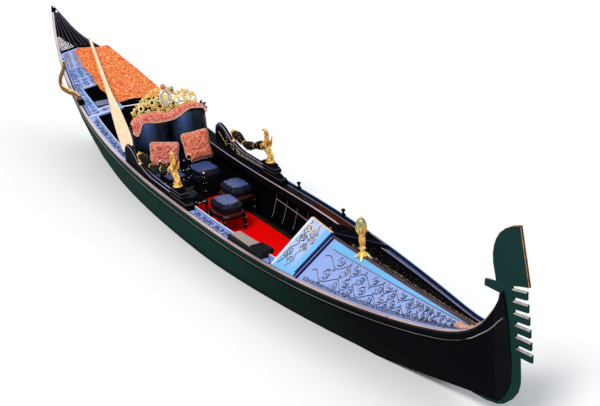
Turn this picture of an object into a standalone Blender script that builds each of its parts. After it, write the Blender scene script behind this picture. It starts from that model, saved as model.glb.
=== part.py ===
# Venetian gondola with wedding fittings, afloat trim, as separate solids.
# Metres. +X is the bow, +Y is port, +Z is up. The origin lies on the lower face of the flat
# bottom, on the line from stem to stern post, amidships.

import bpy
import bmesh
import math
from mathutils import Matrix, Vector

for old in list(bpy.data.objects):
    bpy.data.objects.remove(old, do_unlink=True)

GAP = 0.0003
STARBOARD = -1
PORT = 1
SIDE_NAME = {STARBOARD: "starboard", PORT: "port"}

# Hull lines
BOW_X = 5.178
STERN_X = -5.417
WIDEST_X = 0.499
GUNWALE_HALF = {STARBOARD: 0.568, PORT: 0.768}
GUNWALE_END_HALF = 0.03
GUNWALE_FULLNESS_FORE = 2.184
GUNWALE_FULLNESS_AFT = 4.13
GUNWALE_Z = 0.564
BOW_SHEER_Z = 0.900
BOW_SHEER_POWER = 3.019
BOW_CURL = 0.470
BOW_CURL_POWER = 24
STERN_SHEER_Z = 1.871
STERN_SHEER_POWER = 2.831
PORT_HOLLOW = 0.142
PORT_HOLLOW_X = -4.82
PORT_HOLLOW_LONG = 0.47
CHINE_HALF = {STARBOARD: 0.48, PORT: 0.62}
CHINE_END_HALF = 0.03
FLAT_FORE_X = 2.05
FLAT_AFT_X = -1.75
FOREFOOT_X = 5.05
FOREFOOT_Z = 0.315
FOREFOOT_POWER = 1.92
STERN_ROCKER = 0.33
STERN_RISE = 1.42
FLARE_BULGE = 0.45

# Planking and framing
SKIN = 0.024
BOTTOM_THICK = 0.025
SKIN_END_FORE = 5.10
SKIN_END_AFT = -5.30
RAIL_WIDE = 0.036
RAIL_HIGH = 0.022
SKIN_INSET = 0.006
DECK_THICK = 0.020
SECTION_STEPS = (0.0, 0.25, 0.5, 0.75, 1.0)
STATION_STEP = 0.25
STATIONS_AFT = [SKIN_END_AFT, -5.15, -5.0, -4.87, -4.75, -4.625, -4.5, -4.375, -4.25, -4.125]
STATIONS_FORE = [4.62, 4.74, 4.84, 4.92, 4.98, 5.04, SKIN_END_FORE]
STATIONS = STATIONS_AFT + [STATION_STEP * k for k in range(-16, 19)] + STATIONS_FORE
RIB_WIDE = 0.030
RIB_DEEP = 0.034
RIB_GAP = 0.0016
FLOOR_TIMBER_HIGH = 0.045
KEELSON_HALF = 0.040
RIB_XS = ([-4.25, -3.5, -2.5, -2.0, -1.5, -1.0, -0.5] + [STATION_STEP * k for k in range(0, 9)]
          + [2.75, 3.25, 3.75])
FLOOR_Z = BOTTOM_THICK + FLOOR_TIMBER_HIGH + 3 * GAP
FLOOR_THICK = 0.016
CARPET_THICK = 0.010
CARPET_Z = FLOOR_Z + FLOOR_THICK + CARPET_THICK + GAP


def material(name, color, rough, metal=0.0):
    made = bpy.data.materials.get(name)
    if made:
        return made
    made = bpy.data.materials.new(name)
    made.use_nodes = True
    shader = made.node_tree.nodes["Principled BSDF"]
    shader.inputs["Base Color"].default_value = (*color, 1.0)
    shader.inputs["Roughness"].default_value = rough
    shader.inputs["Metallic"].default_value = metal
    return made


def add_solid(name, verts, faces, look, smooth=False):
    mesh = bpy.data.meshes.new(name)
    mesh.from_pydata([tuple(v) for v in verts], [], faces)
    solid = bmesh.new()
    solid.from_mesh(mesh)
    bmesh.ops.remove_doubles(solid, verts=solid.verts, dist=1e-6)
    bmesh.ops.recalc_face_normals(solid, faces=solid.faces)
    solid.to_mesh(mesh)
    solid.free()
    if smooth:
        mesh.shade_smooth()
        mesh.set_sharp_from_angle(angle=math.radians(40))
    mesh.materials.append(look)
    node = bpy.data.objects.new(name, mesh)
    bpy.context.scene.collection.objects.link(node)
    return node


def loft_faces(rings, closed):
    count = len(rings[0])
    faces = []
    last = len(rings) if closed else len(rings) - 1
    for i in range(last):
        low = i * count
        high = ((i + 1) % len(rings)) * count
        for j in range(count):
            k = (j + 1) % count
            faces.append((low + j, low + k, high + k, high + j))
    if not closed:
        faces.append(tuple(range(count)))
        faces.append(tuple(range((len(rings) - 1) * count, len(rings) * count)))
    return faces


def loft(name, rings, look, smooth=False, closed=False):
    verts = [point for ring in rings for point in ring]
    return add_solid(name, verts, loft_faces(rings, closed), look, smooth)


def hull_loft(name, xs, section, look, smooth=False):
    """A body along the hull; section(x) gives its outline as (y, z) points."""
    rings = [[(x, y, z) for y, z in section(x)] for x in xs]
    return loft(name, rings, look, smooth)


def box(name, low, high, look):
    (x0, y0, z0), (x1, y1, z1) = low, high
    ring = ((y0, z0), (y1, z0), (y1, z1), (y0, z1))
    return hull_loft(name, (x0, x1), lambda x: ring, look)


def side_prism(name, outline, y0, y1, look, smooth=False):
    """A plate standing fore and aft; outline is in (x, z)."""
    rings = [[(x, y, z) for x, z in outline] for y in (y0, y1)]
    return loft(name, rings, look, smooth)


def lathe_rings(profile, centre, sides):
    rings = []
    for radius, z in profile:
        ring = []
        for k in range(sides):
            angle = math.tau * k / sides
            ring.append((centre[0] + radius * math.cos(angle),
                         centre[1] + radius * math.sin(angle), centre[2] + z))
        rings.append(ring)
    return rings


def turned(name, profile, centre, look, sides=12):
    return loft(name, lathe_rings(profile, centre, sides), look, True)


def bezier(points, steps):
    """Points on a smooth curve through the given ones."""
    pts = [Vector(p) for p in points]
    pts = [pts[0] * 2 - pts[1]] + pts + [pts[-1] * 2 - pts[-2]]
    out = []
    for i in range(1, len(pts) - 2):
        for k in range(steps):
            t = k / steps
            a, b, c, d = pts[i - 1], pts[i], pts[i + 1], pts[i + 2]
            out.append(0.5 * (2 * b + (c - a) * t + (2 * a - 5 * b + 4 * c - d) * t * t
                              + (3 * b - a - 3 * c + d) * t * t * t))
    out.append(pts[-2])
    return out


def swept(name, path, radii, look, sides=8, flat=1.0, across=Vector((0, 1, 0))):
    """A round or flattened bar along path, with one radius for each point."""
    rings = []
    for i, point in enumerate(path):
        ahead = (path[min(i + 1, len(path) - 1)] - path[max(i - 1, 0)]).normalized()
        side = (across - ahead * across.dot(ahead)).normalized()
        up = side.cross(ahead)
        ring = []
        for k in range(sides):
            angle = math.tau * (k + 0.5) / sides
            ring.append(point + side * radii[i] * flat * math.cos(angle)
                        + up * radii[i] * math.sin(angle))
        rings.append(ring)
    return loft(name, rings, look, True)


def fuse(name, pieces, look):
    """One closed body from pieces that run into each other."""
    base = pieces[0]
    for piece in pieces[1:]:
        cut = base.modifiers.new("join", "BOOLEAN")
        cut.operation = "UNION"
        cut.object = piece
    bpy.context.view_layer.update()
    scene_state = bpy.context.evaluated_depsgraph_get()
    mesh = bpy.data.meshes.new_from_object(base.evaluated_get(scene_state))
    for piece in pieces:
        bpy.data.objects.remove(piece, do_unlink=True)
    mesh.name = name
    mesh.materials.clear()
    mesh.materials.append(look)
    node = bpy.data.objects.new(name, mesh)
    bpy.context.scene.collection.objects.link(node)
    return node


# Hull shape
def gunwale_half(x, side):
    fore = min(max((x - WIDEST_X) / (BOW_X - WIDEST_X), 0), 1)
    aft = min(max((WIDEST_X - x) / (WIDEST_X - STERN_X), 0), 1)
    full = (1 - fore ** GUNWALE_FULLNESS_FORE) * (1 - aft ** GUNWALE_FULLNESS_AFT)
    hollow = PORT_HOLLOW * math.exp(-((x - PORT_HOLLOW_X) / PORT_HOLLOW_LONG) ** 2)
    return GUNWALE_HALF[side] * full + GUNWALE_END_HALF - (hollow if side == PORT else 0)


def gunwale_z(x):
    fore = min(max((x - WIDEST_X) / (BOW_X - WIDEST_X), 0), 1)
    aft = min(max((WIDEST_X - x) / (WIDEST_X - STERN_X), 0), 1)
    sheer = (BOW_SHEER_Z - GUNWALE_Z) * fore ** BOW_SHEER_POWER
    curl = BOW_CURL * fore ** BOW_CURL_POWER
    return GUNWALE_Z + sheer + curl + (STERN_SHEER_Z - GUNWALE_Z) * aft ** STERN_SHEER_POWER


def chine_half(x, side):
    fore = min(max((x - 0.5) / 4.5, 0), 1)
    aft = min(max((0.5 - x) / 5.4, 0), 1)
    shape = (1 - fore ** 1.6) ** 1.5 * (1 - aft ** 2.2) ** 1.4
    return CHINE_HALF[side] * shape + CHINE_END_HALF


def bottom_z(x):
    fore = max(0, (x - FLAT_FORE_X) / (FOREFOOT_X - FLAT_FORE_X))
    aft = max(0, (FLAT_AFT_X - x) / (FLAT_AFT_X - STERN_X))
    return FOREFOOT_Z * fore ** FOREFOOT_POWER + STERN_ROCKER * aft ** 2 + STERN_RISE * aft ** 6


def lines_at(x, side):
    """Gunwale half, gunwale z, chine half and bottom z on the faceted hull."""
    def exact(place):
        return (gunwale_half(place, side), gunwale_z(place),
                chine_half(place, side), bottom_z(place))
    if x <= STATIONS[0] or x >= STATIONS[-1]:
        return exact(x)
    for aft, fore in zip(STATIONS, STATIONS[1:]):
        if aft <= x <= fore:
            share = (x - aft) / (fore - aft)
            return tuple(a + (b - a) * share for a, b in zip(exact(aft), exact(fore)))


def rail_z(x):
    return lines_at(x, PORT)[1]


def rail_half(x, side):
    return lines_at(x, side)[0]


def floor_of_hull(x):
    return lines_at(x, PORT)[3]


def skin_points(x, side, inward):
    """Points on the side planking from chine to rail, moved inward by a distance."""
    half, top, chine, bottom = lines_at(x, side)
    half -= SKIN_INSET
    low = bottom + BOTTOM_THICK + GAP
    high = top - RAIL_HIGH - GAP
    points = []
    for t in SECTION_STEPS:
        y = chine + (half - chine) * (t + FLARE_BULGE * t * (1 - t))
        points.append((side * (y - inward), low + (high - low) * t))
    return points


def stations(aft, fore):
    """Places along the hull from aft to fore, with every station between them."""
    return [aft] + [x for x in STATIONS if aft + 0.01 < x < fore - 0.01] + [fore]


# Looks
LACQUER = material("black_lacquer", (0.010, 0.014, 0.016), 0.12)
HULL_GREEN = material("green_black_lacquer", (0.008, 0.030, 0.026), 0.15)
RAIL_PINK = material("pale_rail_paint", (0.75, 0.62, 0.62), 0.35)
SKY_LACQUER = material("sky_blue_lacquer", (0.28, 0.45, 0.85), 0.30)
CYAN_LACQUER = material("cyan_lacquer", (0.16, 0.55, 0.90), 0.28)
BROWN_WOOD = material("brown_wood", (0.20, 0.07, 0.04), 0.45)
STEEL = material("green_steel", (0.025, 0.10, 0.09), 0.35, 0.7)
GOLD = material("gilded", (0.85, 0.52, 0.12), 0.25, 1.0)
RED_CARPET = material("red_carpet", (0.85, 0.01, 0.01), 0.9)
RUG_LOOK = material("brocade_rug", (0.80, 0.25, 0.05), 0.9)
BROCADE = material("brocade", (0.85, 0.30, 0.22), 0.85)
LEATHER = material("blue_black_leather", (0.02, 0.03, 0.07), 0.30)
OAR_WOOD = material("oar_wood", (0.80, 0.60, 0.36), 0.5)
FORCOLA_WOOD = material("walnut", (0.30, 0.15, 0.04), 0.4)
GREY_MAT = material("grey_mat", (0.30, 0.27, 0.25), 0.8)
MAHOGANY = material("mahogany", (0.12, 0.015, 0.01), 0.3)


def build_planking():
    def bottom_section(x):
        low = floor_of_hull(x)
        left = -lines_at(x, STARBOARD)[2]
        right = lines_at(x, PORT)[2]
        return ((left, low), (right, low), (right, low + BOTTOM_THICK), (left, low + BOTTOM_THICK))
    hull_loft("bottom_planking", STATIONS, bottom_section, HULL_GREEN)
    for side in (STARBOARD, PORT):
        def side_section(x, side=side):
            return skin_points(x, side, 0) + skin_points(x, side, SKIN)[::-1]
        hull_loft("side_planking_" + SIDE_NAME[side], STATIONS, side_section, HULL_GREEN, True)

        def rail_section(x, side=side):
            half, top = rail_half(x, side), rail_z(x)
            return ((side * half, top - RAIL_HIGH), (side * half, top),
                    (side * (half - RAIL_WIDE), top), (side * (half - RAIL_WIDE), top - RAIL_HIGH))
        hull_loft("gunwale_" + SIDE_NAME[side], STATIONS, rail_section, RAIL_PINK)


RUB_DROP = 0.085
RUB_HIGH = 0.020
RUB_PROUD = 0.012
RUB_AFT = -5.00
RUB_FORE = 4.98
RUB_GAP = {STARBOARD: 0.0006, PORT: 0.0018}


def build_rub_strakes():
    for side in (STARBOARD, PORT):
        def section(x, side=side):
            (y0, z0), (y1, z1) = skin_points(x, side, 0)[3:5]
            top = z1 - RUB_DROP + RUB_HIGH
            low = z1 - RUB_DROP

            def face(z, side=side):
                return abs(y1 + (y0 - y1) * (z1 - z) / (z1 - z0)) + RUB_GAP[side]
            return ((side * face(top), top), (side * (face(top) + RUB_PROUD), top),
                    (side * (face(low) + RUB_PROUD), low), (side * face(low), low))
        hull_loft("rub_strake_" + SIDE_NAME[side], stations(RUB_AFT, RUB_FORE), section, RAIL_PINK)


STEM_AFT = 4.95
# Stem profile ahead of the planking: x, lower z, upper z
STEM = ((5.1006, 0.330, gunwale_z(5.1006)), (5.135, 0.366, gunwale_z(5.135)),
        (BOW_X, 0.410, gunwale_z(BOW_X)), (5.197, 0.437, 1.295), (5.224, 0.485, 1.158),
        (5.245, 0.530, 1.016), (5.258, 0.563, 0.902), (5.268, 0.640, 0.780))
STEM_FRONT_HALF = 0.018


def build_stem_and_stern():
    rings = []
    for x in stations(STEM_AFT + GAP, SKIN_END_FORE + GAP):
        top = rail_z(x) - 0.004
        left = -(rail_half(x, STARBOARD) - RAIL_WIDE - GAP)
        right = rail_half(x, PORT) - RAIL_WIDE - GAP
        low = top - RAIL_HIGH + 0.006
        rings.append([(x, left, low), (x, right, low), (x, right, top), (x, left, top)])
    for x, foot, top in STEM:
        taper = max(0, x - BOW_X) / (STEM[-1][0] - BOW_X)
        narrow = GUNWALE_END_HALF + (STEM_FRONT_HALF - GUNWALE_END_HALF) * taper
        left = -gunwale_half(x, STARBOARD) + GAP if x < BOW_X else -narrow
        right = gunwale_half(x, PORT) - GAP if x < BOW_X else narrow
        rings.append([(x, left * 0.9, foot), (x, right * 0.9, foot),
                      (x, right, top - GAP), (x, left, top - GAP)])
    loft("stem_post", rings, LACQUER)

    rings = []
    for x in (SKIN_END_AFT - GAP, -5.36, STERN_X):
        left, right = gunwale_half(x, STARBOARD), gunwale_half(x, PORT)
        chine = CHINE_END_HALF
        low, top = bottom_z(x), gunwale_z(x)
        rings.append([(x, -chine, low), (x, chine, low), (x, right, top), (x, -left, top)])
    loft("stern_post", rings, LACQUER)


def build_frames():
    pieces = []
    for x0 in RIB_XS:
        rings = []
        for x in (x0 - RIB_WIDE / 2, x0 + RIB_WIDE / 2):
            floor_top = floor_of_hull(x) + BOTTOM_THICK + GAP + FLOOR_TIMBER_HIGH
            outer = {side: skin_points(x, side, SKIN + RIB_GAP) for side in SIDE_NAME}
            inner = {side: skin_points(x, side, SKIN + RIB_DEEP) for side in SIDE_NAME}
            for side in SIDE_NAME:
                inner[side][0] = (inner[side][0][0], floor_top)
            ring = outer[PORT][::-1] + outer[STARBOARD] + inner[STARBOARD][::-1] + inner[PORT]
            rings.append([(x, y, z) for y, z in ring])
        pieces.append(loft("rib", rings, BROWN_WOOD))

    def keelson(x):
        low = floor_of_hull(x) + BOTTOM_THICK + GAP + 0.002
        top = low + FLOOR_TIMBER_HIGH - 0.006
        return ((-KEELSON_HALF, low), (KEELSON_HALF, low), (KEELSON_HALF, top),
                (-KEELSON_HALF, top))
    spine = hull_loft("keelson", stations(RIB_XS[0] - 0.1, RIB_XS[-1] + 0.1), keelson, BROWN_WOOD)
    fuse("frames", [spine] + pieces, BROWN_WOOD)


FLOOR_AFT = -1.72
FLOOR_FORE = 2.07
FLOOR_HALF = {STARBOARD: 0.42, PORT: 0.53}
CARPET_HALF = {STARBOARD: 0.40, PORT: 0.47}
STRINGER_FORE = 2.06
STRINGER_AFT = -0.52
STRINGER_HIGH = 0.030
STRINGER_WIDE = 0.020


def build_floor():
    top = FLOOR_Z + FLOOR_THICK

    def layer(limits, low, high):
        def section(x):
            left, right = (min(limits[side], lines_at(x, side)[2] - SKIN - RIB_DEEP - 0.004)
                           for side in (STARBOARD, PORT))
            return (-left, low), (right, low), (right, high), (-left, high)
        return section
    hull_loft("floor_boards", stations(FLOOR_AFT, FLOOR_FORE), layer(FLOOR_HALF, FLOOR_Z, top),
              BROWN_WOOD)
    hull_loft("carpet", stations(FLOOR_AFT + 0.01, FLOOR_FORE - 0.01),
              layer(CARPET_HALF, top + GAP, CARPET_Z), RED_CARPET)
    for side in SIDE_NAME:
        def section(x, side=side):
            y0, z0 = skin_points(x, side, SKIN + RIB_DEEP + GAP)[3]
            y1, z1 = skin_points(x, side, SKIN + RIB_DEEP + GAP)[4]
            slope = (abs(y1) - abs(y0)) / (z1 - z0)
            low = abs(y0) + slope * 0.02
            high = low + slope * STRINGER_HIGH
            return ((side * low, z0 + 0.02), (side * high, z0 + 0.02 + STRINGER_HIGH),
                    (side * (high - STRINGER_WIDE), z0 + 0.02 + STRINGER_HIGH),
                    (side * (low - STRINGER_WIDE), z0 + 0.02))
        hull_loft("stringer_" + SIDE_NAME[side], stations(STRINGER_AFT, STRINGER_FORE), section,
                  RAIL_PINK)


# Side decks, with a coaming along the inner edge
SIDE_DECK_AFT = -2.94
SIDE_DECK_FORE = 2.07
SIDE_DECK_WIDE = {STARBOARD: 0.135, PORT: 0.205}
COAMING_WIDE = 0.014
COAMING_UP = 0.030
COAMING_DOWN = 0.045
DECK_DROP = 0.004


def deck_top(x):
    return rail_z(x) - DECK_DROP


def deck_low(x):
    return rail_z(x) - RAIL_HIGH


def deck_outer(x, side):
    return rail_half(x, side) - RAIL_WIDE - GAP


def deck_inner(x, side):
    return rail_half(x, side) - SIDE_DECK_WIDE[side]


def build_side_decks():
    for side in SIDE_NAME:
        def section(x, side=side):
            outer, inner = deck_outer(x, side), deck_inner(x, side)
            top, low = deck_top(x), deck_low(x)
            lip = inner - COAMING_WIDE
            points = ((outer, low), (outer, top), (inner, top), (inner, top + COAMING_UP),
                      (lip, top + COAMING_UP), (lip, low - COAMING_DOWN), (inner, low - COAMING_DOWN),
                      (inner, low))
            return [(side * y, z) for y, z in points]
        hull_loft("side_deck_" + SIDE_NAME[side], stations(SIDE_DECK_AFT, SIDE_DECK_FORE), section,
                  SKY_LACQUER if side == STARBOARD else LACQUER)


BULKHEAD_GAP = 0.0016
BULKHEAD_THICK = 0.020


# Peaked fore deck, its ridge rail and the raised step at its aft end
STEP_AFT = 2.10
STEP_FORE = 2.50
STEP_EDGE_UP = 0.022
STEP_RIDGE_Z = {STEP_AFT: 0.972, STEP_FORE: 0.930}
STEP_THICK = 0.050
DECK_FORE = 4.94
RIDGE = ((2.50, 0.892), (2.75, 0.884), (3.25, 0.876), (3.75, 0.869), (4.25, 0.868), (4.62, 0.868))
RIDGE_ABOVE_RAIL = 0.006
RIDGE_HALF = 0.015
RIDGE_UP = 0.012
RIDGE_DOWN = 0.030


def ridge_z(x):
    height = RIDGE[-1][1]
    for (x0, z0), (x1, z1) in zip(RIDGE, RIDGE[1:]):
        if x0 <= x <= x1:
            height = z0 + (z1 - z0) * (x - x0) / (x1 - x0)
    return max(height, rail_z(x) + RIDGE_ABOVE_RAIL)


def bulkhead_outline(x, peak):
    """Outline inside the planking, up to a deck whose underside rises to peak amidships."""
    left = skin_points(x, STARBOARD, SKIN + 1.6 * RIB_GAP)
    right = skin_points(x, PORT, SKIN + 1.6 * RIB_GAP)
    under = deck_low(x) - 2 * GAP
    low = left[0][1]
    notch = [(KEELSON_HALF + 0.002, low), (KEELSON_HALF + 0.002, low + FLOOR_TIMBER_HIGH),
             (-KEELSON_HALF - 0.002, low + FLOOR_TIMBER_HIGH), (-KEELSON_HALF - 0.002, low)]
    return (left + [(-deck_outer(x, STARBOARD), under), (0, peak - BULKHEAD_GAP),
                    (deck_outer(x, PORT), under)] + right[::-1] + notch)


def build_fore_deck():
    xs = stations(STEP_FORE + GAP, DECK_FORE)
    for side in SIDE_NAME:
        def section(x, side=side):
            outer = deck_outer(x, side)
            inner = RIDGE_HALF + 2 * GAP
            return ((side * outer, deck_low(x)), (side * outer, deck_top(x)),
                    (side * inner, ridge_z(x)), (side * inner, ridge_z(x) - DECK_THICK))
        hull_loft("fore_deck_" + SIDE_NAME[side], xs, section,
                  SKY_LACQUER if side == STARBOARD else LACQUER)

    def ridge(x):
        low, high = ridge_z(x) - RIDGE_DOWN, ridge_z(x) + RIDGE_UP
        return ((-RIDGE_HALF, low), (RIDGE_HALF, low), (RIDGE_HALF, high), (-RIDGE_HALF, high))
    hull_loft("fore_ridge", xs, ridge, BROWN_WOOD)

    def step(x):
        share = (x - STEP_AFT) / (STEP_FORE - STEP_AFT)
        peak = STEP_RIDGE_Z[STEP_AFT] * (1 - share) + STEP_RIDGE_Z[STEP_FORE] * share
        left, right = -deck_outer(x, STARBOARD), deck_outer(x, PORT)
        low, edge = deck_low(x), rail_z(x) + STEP_EDGE_UP
        return ((left, low), (left, edge), (0, peak), (right, edge), (right, low),
                (0, peak - STEP_THICK))
    step_xs = [STEP_AFT] + stations(STEP_AFT + BULKHEAD_THICK, STEP_FORE)
    hull_loft("fore_step", step_xs, step, CYAN_LACQUER)

    def bulkhead(x):
        share = (x - STEP_AFT) / (STEP_FORE - STEP_AFT)
        peak = STEP_RIDGE_Z[STEP_AFT] * (1 - share) + STEP_RIDGE_Z[STEP_FORE] * share - STEP_THICK
        return bulkhead_outline(x, peak)
    hull_loft("fore_bulkhead", (STEP_AFT + GAP, STEP_AFT + BULKHEAD_THICK), bulkhead, LACQUER)


# Stern: carved deck with a foot well, fluted top, bulkhead
STERN_DECK_FORE = -2.95
STERN_TOP_FORE = -4.50
CAMBER = 0.045
WELL_FORE = -3.12
WELL_AFT = -3.64
WELL_INNER = 0.02
WELL_OUTER = 0.30
WELL_DEEP = 0.16
WELL_WALL = 0.012
FLUTES = 4
FLUTE_HIGH = 0.014
TOP_STEPS = 16


def stern_mid_z(x):
    return rail_z(x) - DECK_DROP + CAMBER


def build_stern():
    xs = stations(STERN_TOP_FORE + GAP, STERN_DECK_FORE)
    for side in SIDE_NAME:
        def section(x, side=side):
            outer = deck_outer(x, side)
            inner = GAP
            return ((side * outer, deck_low(x)), (side * outer, deck_top(x)),
                    (side * inner, stern_mid_z(x)), (side * inner, stern_mid_z(x) - DECK_THICK))
        deck = hull_loft("stern_deck_" + SIDE_NAME[side], xs, section,
                         SKY_LACQUER if side == STARBOARD else LACQUER)
        if side == STARBOARD:
            hole = box("well_cutter", (WELL_AFT, -WELL_OUTER, 0.5), (WELL_FORE, -WELL_INNER, 1.5),
                       LACQUER)
            hole.hide_render = True
            hole.display_type = "WIRE"
            cut = deck.modifiers.new("well", "BOOLEAN")
            cut.operation = "DIFFERENCE"
            cut.object = hole

    def top(x):
        left, right = deck_outer(x, STARBOARD), deck_outer(x, PORT)
        upper = []
        lower = []
        for k in range(TOP_STEPS + 1):
            share = k / TOP_STEPS
            y = -left + (left + right) * share
            arch = 1 - (2 * share - 1) ** 2
            flute = FLUTE_HIGH * abs(math.sin(math.pi * FLUTES * share)) * min(1, (left + right) / 0.3)
            upper.append((y, deck_top(x) + CAMBER * arch + flute))
            lower.append((y, deck_low(x) + CAMBER * arch * 0.8))
        return upper + lower[::-1]
    hull_loft("stern_top", stations(SKIN_END_AFT + GAP, STERN_TOP_FORE), top, LACQUER, True)

    def bulkhead(x):
        return bulkhead_outline(x, stern_mid_z(x) - DECK_THICK)
    hull_loft("stern_bulkhead", (STERN_DECK_FORE - BULKHEAD_THICK - GAP, STERN_DECK_FORE - GAP),
              bulkhead, LACQUER)
    build_well()


def build_well():
    """An open box hung in the hole of the starboard deck."""
    def deck_under(x, y):
        outer = deck_outer(x, STARBOARD)
        share = 1 - (y - GAP) / (outer - GAP)
        return deck_low(x) + (stern_mid_z(x) - DECK_THICK - deck_low(x)) * share
    a, b = WELL_AFT + 2 * GAP, WELL_FORE - 2 * GAP
    inner, outer = WELL_INNER + 2 * GAP, WELL_OUTER - 2 * GAP
    verts = []
    for inset, above in ((0, 0), (WELL_WALL, WELL_WALL)):
        for x in (a + inset, b - inset):
            for y in (inner + inset, outer - inset):
                verts.append((x, -y, deck_under(WELL_AFT, WELL_OUTER) - WELL_DEEP + above))
                verts.append((x, -y, deck_under(x, y) + 0.012))
    # Each corner has its low point first, then its top point; the outer box has corners 0 to 3
    def low(box_index, corner):
        return box_index * 8 + corner * 2

    def high(box_index, corner):
        return low(box_index, corner) + 1
    around = (0, 1, 3, 2)
    faces = []
    for k in range(4):
        c, d = around[k], around[(k + 1) % 4]
        faces.append((low(0, c), low(0, d), high(0, d), high(0, c)))
        faces.append((low(1, c), high(1, c), high(1, d), low(1, d)))
        faces.append((high(0, c), high(0, d), high(1, d), high(1, c)))
    faces.append(tuple(low(0, c) for c in around))
    faces.append(tuple(low(1, c) for c in around))
    add_solid("stern_well", verts, faces, LACQUER)


# Bow iron, a steel plate along the stem, topped by a broad blade
IRON_HALF = 0.010
IRON_GAP = 2 * GAP
BLADE_BACK = ((5.075, 1.428), (5.059, 1.496), (5.043, 1.568), (5.040, 1.644), (5.054, 1.717),
              (5.083, 1.790), (5.132, 1.859), (5.200, 1.916), (5.285, 1.965), (5.379, 1.997))
BLADE_FRONT = ((5.484, 1.512), (5.361, 1.477), (5.273, 1.447))
REAR_TOOTH = ((5.150, 1.375), (5.120, 1.328), (4.928, 1.321), (4.935, 1.384), (5.078, 1.408))
TEETH = 6
TOOTH_HIGH = 0.070
TOOTH_ROOT = (5.280, 1.426)
TOOTH_ROOT_STEP = (0.0108, -0.1015)
TOOTH_TIP = (5.454, 1.462)
TOOTH_TIP_STEP = (0.0125, -0.1055)
NUB_OUT = 0.024
NUB_HALF = 0.010
SPINE = ((5.362, 0.860), (5.367, 0.667), (5.363, 0.595), (5.335, 0.507), (5.265, 0.410),
         (5.164, 0.322), (5.076, 0.280), (4.942, 0.248), (4.740, 0.226))
STRAP_XS = (5.098, 5.04, 4.98)
STRAP_UP = 0.040
STRAP_AFT = 4.955


def build_iron():
    outline = list(BLADE_FRONT)
    for k in range(TEETH):
        root = (TOOTH_ROOT[0] + k * TOOTH_ROOT_STEP[0], TOOTH_ROOT[1] + k * TOOTH_ROOT_STEP[1])
        tip = (TOOTH_TIP[0] + k * TOOTH_TIP_STEP[0], TOOTH_TIP[1] + k * TOOTH_TIP_STEP[1])
        outline += [root, tip, (tip[0], tip[1] - TOOTH_HIGH), (root[0] + 0.004, root[1] - TOOTH_HIGH)]
        if k % 2 == 0:
            middle = root[1] + (TOOTH_ROOT_STEP[1] - TOOTH_HIGH) / 2
            outline += [(root[0] + 0.006, middle + NUB_HALF), (root[0] + NUB_OUT, middle),
                        (root[0] + 0.006, middle - NUB_HALF)]
    outline += SPINE
    outline += [(x, floor_of_hull(x) - IRON_GAP) for x in (4.74, 4.84, 4.92, 4.98, 5.04, 5.10)]
    outline += [(x + IRON_GAP, low - IRON_GAP) for x, low, high in STEM[1:]]
    outline += [(x + IRON_GAP, high + IRON_GAP) for x, low, high in STEM[:2:-1]]
    outline += [(x, high + 4 * IRON_GAP) for x, low, high in (STEM[2], STEM[1])]
    outline += [(x, rail_z(x) + IRON_GAP) for x in STRAP_XS]
    outline += [(STRAP_AFT, rail_z(STRAP_AFT) + 0.008)]
    outline += [(x, rail_z(x) + STRAP_UP) for x in STRAP_XS[::-1]]
    outline += REAR_TOOTH[1:]
    outline += BLADE_BACK
    side_prism("bow_iron", outline, -IRON_HALF, IRON_HALF, STEEL)


# Sitting places, measured along the hull
SEAT_Y = 0.12
SEAT_HALF = 0.455
SEAT_AFT = -1.62
SEAT_FORE = -1.06
SEAT_BASE_Z = 0.30
SEAT_LEDGE_Z = 0.24
SEAT_FOOT = (-0.29, 0.45)
PAD_TOP_Z = 0.44
PAD_PROUD = 0.008
BACK_THICK = 0.09
BACK_RAKE = 0.14
BACK_LOW_Z = SEAT_BASE_Z + GAP
BACK_HALF = 0.545
BACK_LOW_HALF = 0.435
BACK_FLARE_Z = 0.69
BACK_LOBE_Z = 1.15
BACK_VALLEY_Z = 1.06
CREST_HALF = 0.45
CREST_LOW_Z = 0.98
CREST_EDGE_Z = 1.20
CREST_PEAK_Z = 1.36
CREST_THICK = 0.024
MEDALLION_Y = 0.145
MEDALLION_Z = 1.28
MEDALLION_HALF = (0.080, 0.100)
FRILL_THICK = 0.014
# Lower edge of the frill, from port to starboard, as (y, z); it ends in a hanging tail
FRILL_LOW = ((0.640, 1.005), (0.585, 1.085), (0.527, 1.103), (0.470, 1.105), (0.417, 1.095), (0.356, 1.075),
             (0.300, 1.050), (0.258, 1.025), (0.170, 1.005), (0.055, 1.005), (-0.084, 1.020), (-0.170, 1.040),
             (-0.230, 1.050), (-0.285, 1.035), (-0.325, 0.930), (-0.365, 0.885), (-0.400, 0.935))


def back_x(z):
    """The front face of the seat back leans aft as it rises."""
    return SEAT_AFT + BACK_THICK / 2 - BACK_RAKE * (z - PAD_TOP_Z)


def back_top(share):
    """Height of the two-lobed top, share running from -1 to 1 across the seat."""
    lobe = math.sin(math.pi * min(abs(share) * 1.02, 1.0)) ** 0.45
    edge = BACK_VALLEY_Z - 0.02 if abs(share) > 0.5 else BACK_VALLEY_Z
    return edge + (BACK_LOBE_Z - edge) * lobe


def leaning_plate(name, outline, ahead, thick, look, smooth=False):
    """A plate parallel to the seat back; outline is in (y, z)."""
    rings = []
    for offset in (ahead, ahead - thick):
        rings.append([(back_x(z) + offset, y, z) for y, z in outline])
    return loft(name, rings, look, smooth)


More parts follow.
